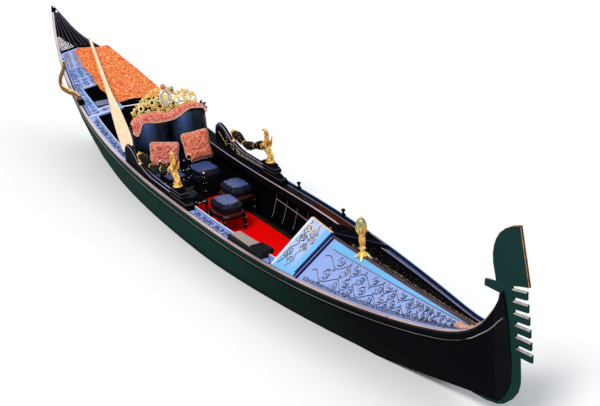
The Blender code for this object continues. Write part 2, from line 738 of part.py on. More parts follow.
def cushion_rings(half_x, half_y, thick, power=4.0, sides=20):
    """A square pad with soft corners, from its lower to its upper face."""
    levels = ((0.80, 0.0), (0.94, 0.12), (1.0, 0.35), (1.0, 0.65), (0.94, 0.88), (0.78, 1.0))
    rings = []
    for scale, share in levels:
        ring = []
        for k in range(sides):
            angle = math.tau * (k + 0.5) / sides
            c, s = math.cos(angle), math.sin(angle)
            reach = (abs(c) ** power + abs(s) ** power) ** (-1 / power)
            ring.append(Vector((half_x * scale * reach * c, half_y * scale * reach * s,
                                thick * share)))
        rings.append(ring)
    return rings


def pad(name, centre, half_x, half_y, thick, look, turn=Matrix.Identity(3)):
    rings = [[turn @ point + Vector(centre) for point in ring]
             for ring in cushion_rings(half_x, half_y, thick)]
    return loft(name, rings, look, True)


def build_seat():
    low, high = SEAT_Y - SEAT_HALF, SEAT_Y + SEAT_HALF
    foot_low, foot_high = SEAT_FOOT
    ring = ((foot_low, CARPET_Z + GAP), (foot_high, CARPET_Z + GAP), (foot_high, SEAT_LEDGE_Z),
            (high, SEAT_LEDGE_Z + 0.02), (high, SEAT_BASE_Z), (low, SEAT_BASE_Z),
            (low, SEAT_LEDGE_Z + 0.02), (foot_low, SEAT_LEDGE_Z))
    hull_loft("seat_base", (SEAT_AFT, SEAT_FORE), lambda x: ring, LACQUER)
    half_y = SEAT_HALF / 2 - 0.003
    half_x = (SEAT_FORE - back_x(SEAT_BASE_Z)) / 2
    middle_x = SEAT_FORE - half_x + PAD_PROUD
    for side in SIDE_NAME:
        y = SEAT_Y + side * SEAT_HALF / 2
        pad("seat_pad_" + SIDE_NAME[side], (middle_x, y, SEAT_BASE_Z + GAP), half_x, half_y,
            PAD_TOP_Z - SEAT_BASE_Z - GAP, LEATHER)

    steps = 24
    shares = [-1 + 2 * k / steps for k in range(steps + 1)]
    top = [(SEAT_Y + BACK_HALF * s, back_top(s)) for s in shares]
    sides = [(BACK_HALF, BACK_FLARE_Z + 0.04), (BACK_LOW_HALF, BACK_FLARE_Z),
             (BACK_LOW_HALF, BACK_LOW_Z)]
    low_edge = [(SEAT_Y + y, z) for y, z in sides] + [(SEAT_Y - y, z) for y, z in sides[::-1]]
    leaning_plate("backrest", top + low_edge, 0, BACK_THICK, LEATHER)

    crest = []
    for k in range(33):
        share = -1 + k / 16
        arch = CREST_EDGE_Z + (CREST_PEAK_Z - CREST_EDGE_Z) * (1 - share * share)
        scallop = 0.025 * abs(math.sin(math.pi * 5 * share))
        crest.append((SEAT_Y + CREST_HALF * share, arch + scallop))
    crest += [(SEAT_Y + CREST_HALF * 0.96, CREST_LOW_Z), (SEAT_Y - CREST_HALF * 0.96, CREST_LOW_Z)]
    plate = leaning_plate("crest_plate", crest, -BACK_THICK - GAP, CREST_THICK, GOLD)
    oval = []
    for k in range(24):
        angle = math.tau * k / 24
        oval.append((MEDALLION_Y + MEDALLION_HALF[0] * math.cos(angle),
                     MEDALLION_Z + MEDALLION_HALF[1] * math.sin(angle)))
    medallion = leaning_plate("medallion", oval, -BACK_THICK - GAP + 0.008, CREST_THICK + 0.004, GOLD)
    fuse("crest", [plate, medallion], GOLD)

    upper = [(SEAT_Y + (BACK_HALF - 0.02) * s, back_top(s) - 0.012) for s in shares]
    leaning_plate("crest_frill", upper + list(FRILL_LOW), FRILL_THICK + 2 * GAP, FRILL_THICK, BROCADE)


# Brocade cushions: middle point, half width, half height, lean in degrees, turn in degrees
CUSHIONS = (
    ("cushion_port", (-1.5543, 0.366, 0.6026), 0.190, 0.190, 66, -4),
    ("cushion_starboard", (-1.5768, -0.055, 0.6026), 0.198, 0.168, 74, -13),
)
CUSHION_THICK = 0.10


def build_cushions():
    for name, middle, half_wide, half_high, lean, roll in CUSHIONS:
        turn = (Matrix.Rotation(math.radians(lean), 3, "Y")
                @ Matrix.Rotation(math.radians(roll), 3, "Z"))
        pad(name, middle, half_high, half_wide, CUSHION_THICK, BROCADE, turn)


# Stools: name, middle x, middle y, half length, half width
STOOLS = (
    ("stool_port", -0.47, 0.40, 0.235, 0.185),
    ("stool_centre", -0.06, 0.06, 0.235, 0.180),
)
STOOL_SEAT_Z = 0.335
STOOL_APRON = 0.07
STOOL_TOP_Z = 0.455
LEG_PROFILE = ((0.012, 0.0), (0.022, 0.012), (0.014, 0.03), (0.020, 0.07), (0.026, 0.11),
               (0.014, 0.14), (0.024, 0.17), (0.028, 0.20), (0.020, 0.23), (0.026, 0.30))
LEG_INSET = 0.75


def legs(x, y, half_x, half_y, foot_z, top_z, sides=8):
    scale = (top_z - foot_z) / LEG_PROFILE[-1][1]
    profile = [(radius, z * scale) for radius, z in LEG_PROFILE]
    places = [(x + i * half_x * LEG_INSET, y + j * half_y * LEG_INSET, foot_z)
              for i in (-1, 1) for j in (-1, 1)]
    return [turned("leg", profile, place, LACQUER, sides) for place in places]


def build_stools():
    foot = CARPET_Z + GAP
    for name, x, y, half_x, half_y in STOOLS:
        apron = [[point + Vector((x, y, STOOL_SEAT_Z - STOOL_APRON)) for point in ring]
                 for ring in cushion_rings(half_x, half_y, STOOL_APRON, 3.0)]
        frame = [loft("apron", apron, MAHOGANY)]
        frame += legs(x, y, half_x, half_y, foot, STOOL_SEAT_Z - STOOL_APRON / 2)
        fuse(name + "_frame", frame, MAHOGANY)
        pad(name + "_pad", (x, y, STOOL_SEAT_Z + GAP), half_x, half_y,
            STOOL_TOP_Z - STOOL_SEAT_Z - GAP, LEATHER)


# Small carved armchair beside the seat
CHAIR_X = -0.66
CHAIR_Y = -0.205
CHAIR_HALF = (0.20, 0.19)
CHAIR_SEAT_Z = 0.36
CHAIR_PAD_Z = 0.43
CHAIR_POST_Z = 0.80
CHAIR_POST_RADIUS = 0.017
POST_PROFILE = ((1.0, 0.0), (1.0, 0.10), (1.35, 0.14), (0.9, 0.19), (1.1, 0.30), (1.4, 0.34),
                (0.9, 0.39), (1.0, 0.55), (1.4, 0.62), (0.9, 0.68), (1.0, 0.82), (1.5, 0.88),
                (0.8, 0.92), (1.5, 0.96), (0.7, 1.0))
CHAIR_BAR = 0.012


def build_chair():
    foot = CARPET_Z + GAP
    half_x, half_y = CHAIR_HALF
    corners = [(CHAIR_X + i * half_x, CHAIR_Y + j * half_y) for i in (-1, 1) for j in (-1, 1)]
    high = CHAIR_POST_Z - foot
    frame = [box("rail", (CHAIR_X - half_x, CHAIR_Y - half_y, CHAIR_SEAT_Z - 0.06),
                 (CHAIR_X + half_x, CHAIR_Y + half_y, CHAIR_SEAT_Z), LACQUER)]
    for x, y in corners:
        tall = high if x < CHAIR_X else high * 0.82
        profile = [(CHAIR_POST_RADIUS * r, z * tall) for r, z in POST_PROFILE]
        frame.append(turned("post", profile, (x, y, foot), LACQUER, 8))
    aft = CHAIR_X - half_x
    for z in (0.52, 0.64, 0.74):
        frame.append(box("slat", (aft - CHAIR_BAR, CHAIR_Y - half_y, z - 0.02),
                         (aft + CHAIR_BAR, CHAIR_Y + half_y, z + 0.02), LACQUER))
    for side in SIDE_NAME:
        y = CHAIR_Y + side * half_y
        frame.append(box("arm", (CHAIR_X - half_x, y - CHAIR_BAR, 0.60),
                         (CHAIR_X + half_x, y + CHAIR_BAR, 0.63), LACQUER))
    fuse("chair_frame", frame, LACQUER)
    pad("chair_pad", (CHAIR_X, CHAIR_Y, CHAIR_SEAT_Z + GAP), half_x - 0.032, half_y - 0.032,
        CHAIR_PAD_Z - CHAIR_SEAT_Z - GAP, LEATHER)


# Raised side boards: top edge as (x, z)
PARAPET_TOP = ((-0.24, 0.655), (-0.80, 0.665), (-0.95, 0.685), (-1.095, 0.730), (-1.165, 0.730),
               (-1.25, 0.795), (-1.36, 0.858), (-1.45, 0.885), (-1.53, 0.875), (-1.59, 0.825), (-1.62, 0.74))
PARAPET_OUT = 0.044
PARAPET_THICK = 0.028
PEDESTAL_AFT = -0.235
PEDESTAL_FORE = 0.225
PEDESTAL_TOP_Z = 0.752
PEDESTAL_HALF = 0.046
SEAHORSE_X = -0.12
SEAHORSE_Y = {STARBOARD: -0.513, PORT: 0.70}


def build_parapets():
    tops = PARAPET_TOP[::-1]

    def top_at(x):
        for (x0, z0), (x1, z1) in zip(tops, tops[1:]):
            if x0 <= x <= x1:
                return z0 + (z1 - z0) * (x - x0) / (x1 - x0)
        return tops[-1][1]
    xs = sorted(set([x for x, z in tops] + stations(tops[0][0], tops[-1][0])))
    for side in SIDE_NAME:
        def section(x, side=side):
            outer = rail_half(x, side) - PARAPET_OUT
            low = deck_top(x) + GAP
            return [(side * y, z) for y, z in ((outer, low), (outer, top_at(x)),
                    (outer - PARAPET_THICK, top_at(x)), (outer - PARAPET_THICK, low))]
        hull_loft("parapet_" + SIDE_NAME[side], xs, section, LACQUER)


# Pedestal under each seahorse: a scroll block, (x, z above the side deck)
def pedestal_outline(low):
    outline = [(-0.23, low), (-0.23, low + 0.05), (-0.20, low + 0.11), (-0.225, low + 0.16),
               (-0.235, PEDESTAL_TOP_Z), (-0.01, PEDESTAL_TOP_Z)]
    for k in range(9):
        angle = math.radians(90 - 20 * k)
        outline.append((0.03 + 0.055 * math.cos(angle), low + 0.125 + 0.035 * math.sin(angle)))
    for k in range(7):
        angle = math.radians(120 - 20 * k)
        outline.append((0.17 + 0.055 * math.cos(angle), low + 0.035 + 0.030 * math.sin(angle)))
    return outline + [(0.22, low)]


# Seahorse: path (x, z above its base) with the radius there
SEAHORSE = ((0.030, 0.030, 0.030), (0.075, 0.060, 0.026), (0.060, 0.105, 0.032),
            (0.005, 0.135, 0.042), (-0.030, 0.185, 0.050), (-0.015, 0.240, 0.046),
            (0.015, 0.290, 0.034), (0.020, 0.335, 0.030), (-0.005, 0.375, 0.030),
            (-0.040, 0.395, 0.020), (-0.075, 0.385, 0.012))
SEAHORSE_BASE = ((0.060, 0.0), (0.062, 0.012), (0.045, 0.022), (0.030, 0.050))
KNOB = ((0.022, 0.0), (0.026, 0.012), (0.014, 0.030), (0.024, 0.055), (0.016, 0.075),
        (0.030, 0.100), (0.034, 0.118), (0.026, 0.138), (0.010, 0.150))
KNOB_X = -1.13
KNOB_Z = 0.730
GARLAND = ((-1.128, 0.840), (-0.98, 0.83), (-0.84, 0.79), (-0.70, 0.785), (-0.56, 0.815),
           (-0.42, 0.86), (-0.30, 0.91), (-0.205, 0.925))
GARLAND_RADIUS = 0.034
GARLAND_SWELL = 0.012
GARLAND_BULGES = 5


def build_figures():
    for side in SIDE_NAME:
        y = SEAHORSE_Y[side]
        low = max(deck_top(PEDESTAL_AFT), deck_top(PEDESTAL_FORE)) + GAP
        side_prism("pedestal_" + SIDE_NAME[side], pedestal_outline(low),
                   y - PEDESTAL_HALF, y + PEDESTAL_HALF, LACQUER)
        base_z = PEDESTAL_TOP_Z + GAP
        path = bezier([(SEAHORSE_X + x, y, base_z + z) for x, z, r in SEAHORSE], 2)
        radii = []
        for (x0, z0, r0), (x1, z1, r1) in zip(SEAHORSE, SEAHORSE[1:]):
            radii += [r0, (r0 + r1) / 2]
        radii.append(SEAHORSE[-1][2])
        body = swept("body", path, radii, GOLD, 10)
        foot = turned("foot", SEAHORSE_BASE, (SEAHORSE_X + 0.02, y, base_z), GOLD, 14)
        fuse("seahorse_" + SIDE_NAME[side], [foot, body], GOLD)

        knob_y = side * (rail_half(KNOB_X, side) - PARAPET_OUT - PARAPET_THICK / 2)
        knob = turned("knob", KNOB, (KNOB_X, knob_y, KNOB_Z + GAP), GOLD, 10)
        share_path = []
        for x, z in GARLAND:
            share = (x - GARLAND[0][0]) / (GARLAND[-1][0] - GARLAND[0][0])
            share_path.append((x, knob_y + (y - knob_y) * share, z))
        route = bezier(share_path, 4)
        swell = [GARLAND_RADIUS + GARLAND_SWELL * math.sin(math.pi * GARLAND_BULGES * k
                 / (len(route) - 1)) ** 2 for k in range(len(route))]
        garland = swept("garland", route, swell, LACQUER, 8)
        fuse("garland_" + SIDE_NAME[side], [knob, garland], LACQUER)


# Boarding step on the starboard side deck, its ribbed block, and the port cleats
MAT_AFT = 1.20
MAT_FORE = 1.68
BLOCK_FORE = 1.92
MAT_UP = 0.020
BLOCK_UP = 0.055
CLEATS = (("cleat_aft", 0.43), ("cleat_fore", 1.45))
CLEAT_PROFILE = ((0.030, 0.0), (0.030, 0.008), (0.014, 0.016), (0.014, 0.045), (0.024, 0.055),
                 (0.024, 0.070), (0.010, 0.078))
ORNAMENT_X = 3.05
ORNAMENT = ((0.055, 0.0), (0.058, 0.015), (0.030, 0.030), (0.020, 0.055), (0.036, 0.085),
            (0.024, 0.110), (0.018, 0.135), (0.034, 0.165), (0.040, 0.195), (0.024, 0.230),
            (0.030, 0.255), (0.052, 0.280), (0.060, 0.320), (0.058, 0.365), (0.040, 0.400),
            (0.018, 0.420))


def build_deck_fittings():
    def block(x):
        low = deck_top(x) + COAMING_UP + GAP
        outer = rail_half(x, STARBOARD) - RAIL_WIDE - 0.012
        inner = deck_inner(x, STARBOARD) - COAMING_WIDE - 0.05
        coaming = deck_inner(x, STARBOARD) + 2 * GAP
        high = low + (MAT_UP if x < MAT_FORE + GAP else BLOCK_UP)
        return ((-outer, deck_top(x) + GAP), (-outer, high), (-inner, high), (-inner, low),
                (-coaming, low), (-coaming, deck_top(x) + GAP))
    mat_xs = stations(MAT_AFT, MAT_FORE)
    ribs = 5
    rings = [[(x, y, z) for y, z in block(x)] for x in mat_xs]
    for k in range(ribs):
        x0 = MAT_FORE + 0.004 + (BLOCK_FORE - MAT_FORE) * k / ribs
        x1 = x0 + (BLOCK_FORE - MAT_FORE) / ribs * 0.62
        for x, drop in ((x0, 0.010), (x0 + 0.004, 0), (x1 - 0.004, 0), (x1, 0.010)):
            ring = [list(p) for p in block(max(x, MAT_FORE + 2 * GAP))]
            ring[1][1] -= drop
            ring[2][1] -= drop
            rings.append([(x, y, z) for y, z in ring])
    loft("boarding_step", rings, GREY_MAT)

    for name, x in CLEATS:
        y = rail_half(x, PORT) - RAIL_WIDE / 2
        turned(name, CLEAT_PROFILE, (x, y, rail_z(x) + 2 * GAP), LACQUER, 10)
    turned("deck_ornament", ORNAMENT, (ORNAMENT_X, 0, ridge_z(ORNAMENT_X - ORNAMENT[0][0]) + RIDGE_UP + GAP),
           GOLD, 14)


# Rug on the port half of the stern deck, lying over the rail: (x, inner y, outer y)
RUG = ((-3.22, 0.09, 0.690), (-3.50, 0.015, 0.655), (-3.75, -0.03, 0.615), (-4.00, -0.06, 0.560),
       (-4.25, -0.075, 0.495), (-4.46, -0.05, 0.420))
RUG_THICK = 0.012
RUG_GAP = 0.0020


def stern_surface(x, y):
    side = STARBOARD if y < 0 else PORT
    outer = deck_outer(x, side)
    if abs(y) > outer:
        return rail_z(x)
    share = max(0, 1 - (abs(y) - GAP) / (outer - GAP))
    return deck_top(x) + (stern_mid_z(x) - deck_top(x)) * share


def build_rug():
    rings = []
    for x, inner, outer in RUG:
        edge = deck_outer(x, PORT) - 0.012
        ys = (inner, max(inner + 0.01, 0.0), edge / 2, edge, edge + 0.014, outer)
        low = [(x, y, stern_surface(x, y) + RUG_GAP) for y in ys]
        high = [(x, y, stern_surface(x, y) + RUG_GAP + RUG_THICK) for y in ys]
        rings.append(low + high[::-1])
    loft("stern_rug", rings, RUG_LOOK, True)


# Rowing gear
FORCOLA_FOOT = (-3.36, -0.462)
FORCOLA_SHANK = 0.018
SOCKET_CLEAR = 0.0012
SOCKET_UP = 0.006
BLOCK_GAP = 0.0006
BLOCK_HALF_X = 0.075
BLOCK_INNER = 0.425
BLOCK_TOP_Z = 1.004
# Centre line: x, y, z, radius
FORCOLA = ((-3.345, -0.462, 1.036, 0.026), (-3.43, -0.480, 1.060, 0.040),
           (-3.58, -0.530, 1.080, 0.045), (-3.72, -0.565, 1.110, 0.046),
           (-3.755, -0.575, 1.190, 0.042), (-3.70, -0.570, 1.280, 0.038),
           (-3.61, -0.560, 1.370, 0.036), (-3.545, -0.555, 1.455, 0.034),
           (-3.53, -0.555, 1.530, 0.024))
OAR_HANDLE = Vector((-4.650, 0.235, 1.4746))
OAR_BLADE = Vector((-1.808, -0.4174, 0.7150))
# Share of the length from the handle, radius across, radius through
OAR = ((0.0, 0.016, 0.016), (0.01, 0.022, 0.022), (0.10, 0.022, 0.022), (0.45, 0.030, 0.028),
       (0.58, 0.045, 0.022), (0.70, 0.072, 0.015), (0.85, 0.088, 0.011), (0.97, 0.090, 0.008),
       (1.0, 0.080, 0.006))


def build_rowing():
    foot_x, foot_y = FORCOLA_FOOT
    inner = BLOCK_INNER

    def block(x):
        outer = rail_half(x, STARBOARD) - 0.004
        low = rail_z(x) + BLOCK_GAP
        return ((-outer, low), (-inner, max(low, stern_surface(x, -inner) + BLOCK_GAP)),
                (-inner, BLOCK_TOP_Z), (-outer, BLOCK_TOP_Z))
    block_aft = foot_x - BLOCK_HALF_X
    base = hull_loft("forcola_block", (block_aft, foot_x, foot_x + BLOCK_HALF_X), block, FORCOLA_WOOD)
    hole_profile = ((FORCOLA_SHANK + SOCKET_CLEAR, 0.0), (FORCOLA_SHANK + SOCKET_CLEAR, 0.2))
    floor = block(block_aft)[1][1]
    hole = turned("socket_cutter", hole_profile, (foot_x, foot_y, floor + SOCKET_UP), LACQUER, 16)
    hole.hide_render = True
    hole.display_type = "WIRE"
    cut = base.modifiers.new("socket", "BOOLEAN")
    cut.operation = "DIFFERENCE"
    cut.object = hole

    path = bezier([p[:3] for p in FORCOLA], 2)
    radii = []
    for a, b in zip(FORCOLA, FORCOLA[1:]):
        radii += [a[3], (a[3] + b[3]) / 2]
    radii.append(FORCOLA[-1][3])
    arm = swept("arm", path, radii, FORCOLA_WOOD, 10, 0.55)
    shank_low = floor + SOCKET_UP + GAP
    shank = turned("shank", ((FORCOLA_SHANK, 0.0), (FORCOLA_SHANK, 1.02 - shank_low)),
                   (foot_x, foot_y, shank_low), FORCOLA_WOOD, 16)
    fuse("forcola", [arm, shank], FORCOLA_WOOD)

    rings = []
    ahead = (OAR_BLADE - OAR_HANDLE).normalized()
    flat_up = Vector((0.60, -0.62, 0.50))
    wide = ahead.cross(flat_up).normalized()
    thin = wide.cross(ahead).normalized()
    for share, across, through in OAR:
        middle = OAR_HANDLE.lerp(OAR_BLADE, share)
        rings.append([middle + wide * across * math.cos(math.tau * k / 12)
                      + thin * through * math.sin(math.tau * k / 12) for k in range(12)])
    loft("oar", rings, OAR_WOOD, True)


build_planking()
build_rub_strakes()
build_stem_and_stern()
build_frames()
build_floor()
build_side_decks()
build_fore_deck()
build_stern()
build_iron()
build_seat()
build_cushions()
build_stools()
build_chair()
build_parapets()
build_figures()
build_deck_fittings()
build_rug()
build_rowing()
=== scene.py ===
import bpy
import bmesh
import math
import random
from mathutils import Matrix, Vector
from mathutils.bvhtree import BVHTree


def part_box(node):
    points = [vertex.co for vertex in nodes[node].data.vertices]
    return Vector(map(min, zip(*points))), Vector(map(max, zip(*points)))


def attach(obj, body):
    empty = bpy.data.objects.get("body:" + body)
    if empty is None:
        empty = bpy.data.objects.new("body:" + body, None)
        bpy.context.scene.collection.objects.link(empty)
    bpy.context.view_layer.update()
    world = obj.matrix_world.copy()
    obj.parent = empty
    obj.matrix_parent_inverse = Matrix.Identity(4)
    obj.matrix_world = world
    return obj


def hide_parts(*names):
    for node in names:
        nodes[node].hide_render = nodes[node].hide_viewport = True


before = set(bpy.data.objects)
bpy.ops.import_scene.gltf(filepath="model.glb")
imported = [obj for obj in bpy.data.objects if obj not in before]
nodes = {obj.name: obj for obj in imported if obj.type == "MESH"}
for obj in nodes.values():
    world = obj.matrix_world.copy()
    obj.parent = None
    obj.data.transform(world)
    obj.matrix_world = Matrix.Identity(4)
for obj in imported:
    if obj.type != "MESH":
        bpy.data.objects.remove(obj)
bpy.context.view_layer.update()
print("frame loaded:", len(nodes), "nodes")

starboard, port = -1, 1
sideName = {starboard: "starboard", port: "port"}

# The camera stands off the starboard bow. Distances are in metres, angles in degrees.
cameraPlace = {
    "stands": (11.9955, -5.4582, 5.7598),
    "turnedBy": 61.707,        # round the boat, from looking along +Y
    "above": 21.927,
    "roll": -4.112,
    "lens": 72.816,
    "sensor": 36.0,
    "shift": (0.00213, -0.01233),
}


def placeCamera():
    turned = math.radians(cameraPlace["turnedBy"])
    above = math.radians(cameraPlace["above"])
    roll = math.radians(cameraPlace["roll"])
    back = Vector((math.sin(turned) * math.cos(above), -math.cos(turned) * math.cos(above), math.sin(above)))
    right = (-back).cross(Vector((0, 0, 1))).normalized()
    up = right.cross(-back).normalized()
    rolledRight = math.cos(roll) * right + math.sin(roll) * up
    rolledUp = math.cos(roll) * up - math.sin(roll) * right
    data = bpy.data.cameras.new("camera")
    data.lens = cameraPlace["lens"]
    data.sensor_width = cameraPlace["sensor"]
    data.shift_x, data.shift_y = cameraPlace["shift"]
    data.clip_end = 200
    camera = bpy.data.objects.new("camera", data)
    turn = Matrix((rolledRight, rolledUp, back)).transposed().to_4x4()
    camera.matrix_world = Matrix.Translation(Vector(cameraPlace["stands"])) @ turn
    bpy.context.scene.collection.objects.link(camera)
    bpy.context.scene.camera = camera


lighting = {
    "sky": ((0.92, 0.95, 1.0), 0.50),
    # name, shines from, strength, softness in degrees, colour
    "lamps": (
        ("keyLamp", (4.0, -7.0, 11.0), 1.85, 20, (1.0, 0.97, 0.93)),
        ("fillLamp", (9.5, 6.0, 6.0), 0.50, 40, (0.90, 0.94, 1.0)),
        ("rimLamp", (-8.0, 3.0, 6.5), 0.50, 40, (0.96, 0.98, 1.0)),
    ),
}


def lightTheBoat():
    world = bpy.data.worlds.new("pale sky")
    world.use_nodes = True
    colour, strength = lighting["sky"]
    world.node_tree.nodes["Background"].inputs["Color"].default_value = (*colour, 1)
    world.node_tree.nodes["Background"].inputs["Strength"].default_value = strength
    bpy.context.scene.world = world
    for name, place, strength, softness, tint in lighting["lamps"]:
        data = bpy.data.lights.new(name, "SUN")
        data.energy = strength
        data.angle = math.radians(softness)
        data.color = tint
        lamp = bpy.data.objects.new(name, data)
        lamp.location = place
        lamp.rotation_euler = (-Vector(place)).to_track_quat("-Z", "Y").to_euler()
        bpy.context.scene.collection.objects.link(lamp)
    bpy.context.scene.view_settings.view_transform = "Standard"


# Gathers the points and faces of one modelled piece
class Workpiece:
    def __init__(self):
        self.points = []
        self.faces = []
        self.slots = []

    def add(self, points, faces, slot=0):
        start = len(self.points)
        self.points += [tuple(p) for p in points]
        self.faces += [tuple(start + i for i in face) for face in faces]
        self.slots += [slot] * len(faces)

    def rings(self, rings, slot=0, capped=True):
        count = len(rings[0])
        faces = []
        for k in range(len(rings) - 1):
            for i in range(count):
                j = (i + 1) % count
                faces.append((k * count + i, k * count + j, (k + 1) * count + j, (k + 1) * count + i))
        if capped:
            faces.append(tuple(range(count))[::-1])
            last = (len(rings) - 1) * count
            faces.append(tuple(last + i for i in range(count)))
        self.add([p for ring in rings for p in ring], faces, slot)

    # A round or flattened rod along a path; flat squeezes it along the hint
    def rod(self, path, radii, sides=8, slot=0, flat=1.0, hint=None):
        path = [Vector(p) for p in path]
        if not isinstance(radii, (list, tuple)):
            radii = [radii] * len(path)
        rings = []
        side = None
        for k, point in enumerate(path):
            ahead = (path[min(k + 1, len(path) - 1)] - path[max(k - 1, 0)]).normalized()
            if hint is not None:
                thin = (Vector(hint) - ahead * ahead.dot(Vector(hint))).normalized()
                side = ahead.cross(thin).normalized()
            else:
                if side is None:
                    side = ahead.orthogonal().normalized()
                side = (side - ahead * ahead.dot(side)).normalized()
                thin = side.cross(ahead).normalized()
            rings.append([point + side * radii[k] * math.cos(a) + thin * radii[k] * flat * math.sin(a)
                          for a in anglesOf(sides)])
        self.rings(rings, slot)

    def ball(self, centre, radius, slot=0, sides=10, rows=6, stretch=(1, 1, 1)):
        rings = []
        for k in range(rows + 1):
            angle = math.pi * (0.04 + 0.92 * k / rows)
            wide = radius * math.sin(angle)
            rings.append([(centre[0] + stretch[0] * wide * math.cos(a),
                           centre[1] + stretch[1] * wide * math.sin(a),
                           centre[2] - stretch[2] * radius * math.cos(angle)) for a in anglesOf(sides)])
        self.rings(rings, slot)

    # A turned profile of (radius, height); gadroons are shallow lobes round it
    def turned(self, profile, centre, sides, slot, gadroons, depth, between):
        rings = []
        for radius, height in profile:
            ring = []
            for angle in anglesOf(sides):
                reach = radius
                if between[0] <= height <= between[1]:
                    reach += depth * abs(math.sin(angle * gadroons / 2)) - depth / 2
                ring.append((centre[0] + reach * math.cos(angle), centre[1] + reach * math.sin(angle),
                             centre[2] + height))
            rings.append(ring)
        self.rings(rings, slot)

    def make(self, name, wears, body="boat", smooth=True):
        mesh = bpy.data.meshes.new(name)
        mesh.from_pydata(self.points, [], self.faces)
        mesh.validate()
        wears = [wears] if isinstance(wears, str) else wears
        for finish in wears:
            mesh.materials.append(finishes[finish])
        if len(wears) > 1 and len(mesh.polygons) == len(self.slots):
            mesh.polygons.foreach_set("material_index", self.slots)
        if smooth:
            mesh.polygons.foreach_set("use_smooth", [True] * len(mesh.polygons))
            mesh.set_sharp_from_angle(angle=math.radians(74))
        mesh.update()
        piece = bpy.data.objects.new(name, mesh)
        bpy.context.scene.collection.objects.link(piece)
        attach(piece, body)
        return piece


# A smooth line through points
def smoothLine(points, steps=6):
    points = [Vector(p) for p in points]
    line = []
    for k in range(len(points) - 1):
        p0 = points[max(k - 1, 0)]
        p1, p2 = points[k], points[k + 1]
        p3 = points[min(k + 2, len(points) - 1)]
        for i in range(steps):
            t = i / steps
            line.append(0.5 * ((2 * p1) + (p2 - p0) * t + (2 * p0 - 5 * p1 + 4 * p2 - p3) * t * t
                               + (3 * p1 - p0 - 3 * p2 + p3) * t ** 3))
    line.append(points[-1])
    return line


def surfaceOf(*names):
    points = []
    faces = []
    for name in names:
        mesh = nodes[name].data
        start = len(points)
        points += [v.co.copy() for v in mesh.vertices]
        faces += [tuple(start + i for i in p.vertices) for p in mesh.polygons]
    return BVHTree.FromPolygons(points, faces)


# Where a straight look meets a surface, lifted off it, or None
def meet(tree, start, toward, lift=0.0):
    place, normal = tree.ray_cast(Vector(start), Vector(toward))[:2]
    return None if place is None else place + normal * lift


# Seen from above
def onTop(tree, x, y, lift=0.0):
    return meet(tree, (x, y, 2.5), (0, 0, -1), lift)


# Seen from inside the boat, going outboard
def onSide(tree, x, z, side, lift=0.0):
    return meet(tree, (x, 0.05, z), (0, side, 0), lift)


def found(places):
    return [place for place in places if place is not None]


# Angles once round, with a few more to close a loop
def anglesOf(count, more=0, offset=0.0):
    return [math.tau * (k + offset) / count for k in range(count + more)]


def heading(angle):
    return Vector((math.cos(angle), math.sin(angle)))


def spread(start, end, count):
    return [start + (end - start) * k / count for k in range(count + 1)]


# Inner and outer edge of a node's top, seen from above, at one station
def topEdges(tree, x, side, reach=0.85, step=0.008):
    def covered(y):
        return onTop(tree, x, y) is not None

    def closeIn(bare, solid):
        for halving in range(7):
            middle = (bare + solid) / 2
            if covered(middle):
                solid = middle
            else:
                bare = middle
        return solid
    inner = outer = None
    for k in range(int(reach / step)):
        y = side * k * step
        if covered(y):
            if inner is None:
                inner = closeIn(y - side * step, y) if k else y
            outer = y
    if outer is not None:
        outer = closeIn(outer + side * step, outer)
    return inner, outer


def edgeTable(tree, side, start, end, count):
    table = []
    for k in range(count + 1):
        x = start + (end - start) * k / count
        inner, outer = topEdges(tree, x, side)
        if inner is not None:
            table.append((x, inner, outer))
    return table


# Reads one column of a table of places, between its rows
def readEdge(table, x, column):
    if x <= table[0][0]:
        return table[0][column]
    for low, high in zip(table, table[1:]):
        if low[0] <= x <= high[0]:
            share = (x - low[0]) / (high[0] - low[0])
            return low[column] + (high[column] - low[column]) * share
    return table[-1][column]


# Shader node groups that several finishes share
def newGroup(name, inputs):
    group = bpy.data.node_groups.new(name, "ShaderNodeTree")
    for label, value in inputs.items():
        isColour = isinstance(value, tuple)
        kind = "NodeSocketColor" if isColour else "NodeSocketFloat"
        socket = group.interface.new_socket(label, in_out="INPUT", socket_type=kind)
        socket.default_value = (*value, 1) if isColour else value
    for label, kind in (("Color", "Color"), ("Roughness", "Float"), ("Height", "Float")):
        group.interface.new_socket(label, in_out="OUTPUT", socket_type="NodeSocket" + kind)
    given = group.nodes.new("NodeGroupInput").outputs
    group.nodes.new("NodeGroupOutput")
    return group, given


# Feeds a group's three outputs
def putOut(group, colour, rough, height):
    result = group.nodes["Group Output"]
    for label, value in (("Color", colour), ("Roughness", rough), ("Height", height)):
        group.links.new(value, result.inputs[label])
    return group


def stretchedPlace(group, stretch):
    place = group.nodes.new("ShaderNodeTexCoord")
    mapping = group.nodes.new("ShaderNodeMapping")
    mapping.inputs["Scale"].default_value = stretch
    group.links.new(place.outputs["Object"], mapping.inputs["Vector"])
    return mapping.outputs["Vector"]


def noiseOf(group, vector, scale, detail=4.0, rough=0.55, warp=0.0):
    noise = group.nodes.new("ShaderNodeTexNoise")
    noise.inputs["Scale"].default_value = scale
    noise.inputs["Detail"].default_value = detail
    noise.inputs["Roughness"].default_value = rough
    noise.inputs["Distortion"].default_value = warp
    group.links.new(vector, noise.inputs["Vector"])
    return noise.outputs["Fac"]


def rangeOf(group, value, low, high, toLow=0.0, toHigh=1.0):
    node = group.nodes.new("ShaderNodeMapRange")
    node.inputs["From Min"].default_value = low
    node.inputs["From Max"].default_value = high
    node.inputs["To Min"].default_value = toLow
    node.inputs["To Max"].default_value = toHigh
    group.links.new(value, node.inputs["Value"])
    return node.outputs["Result"]


def times(group, a, b):
    return mathOf(group, "MULTIPLY", a, b)


def plus(group, a, b):
    return mathOf(group, "ADD", a, b)


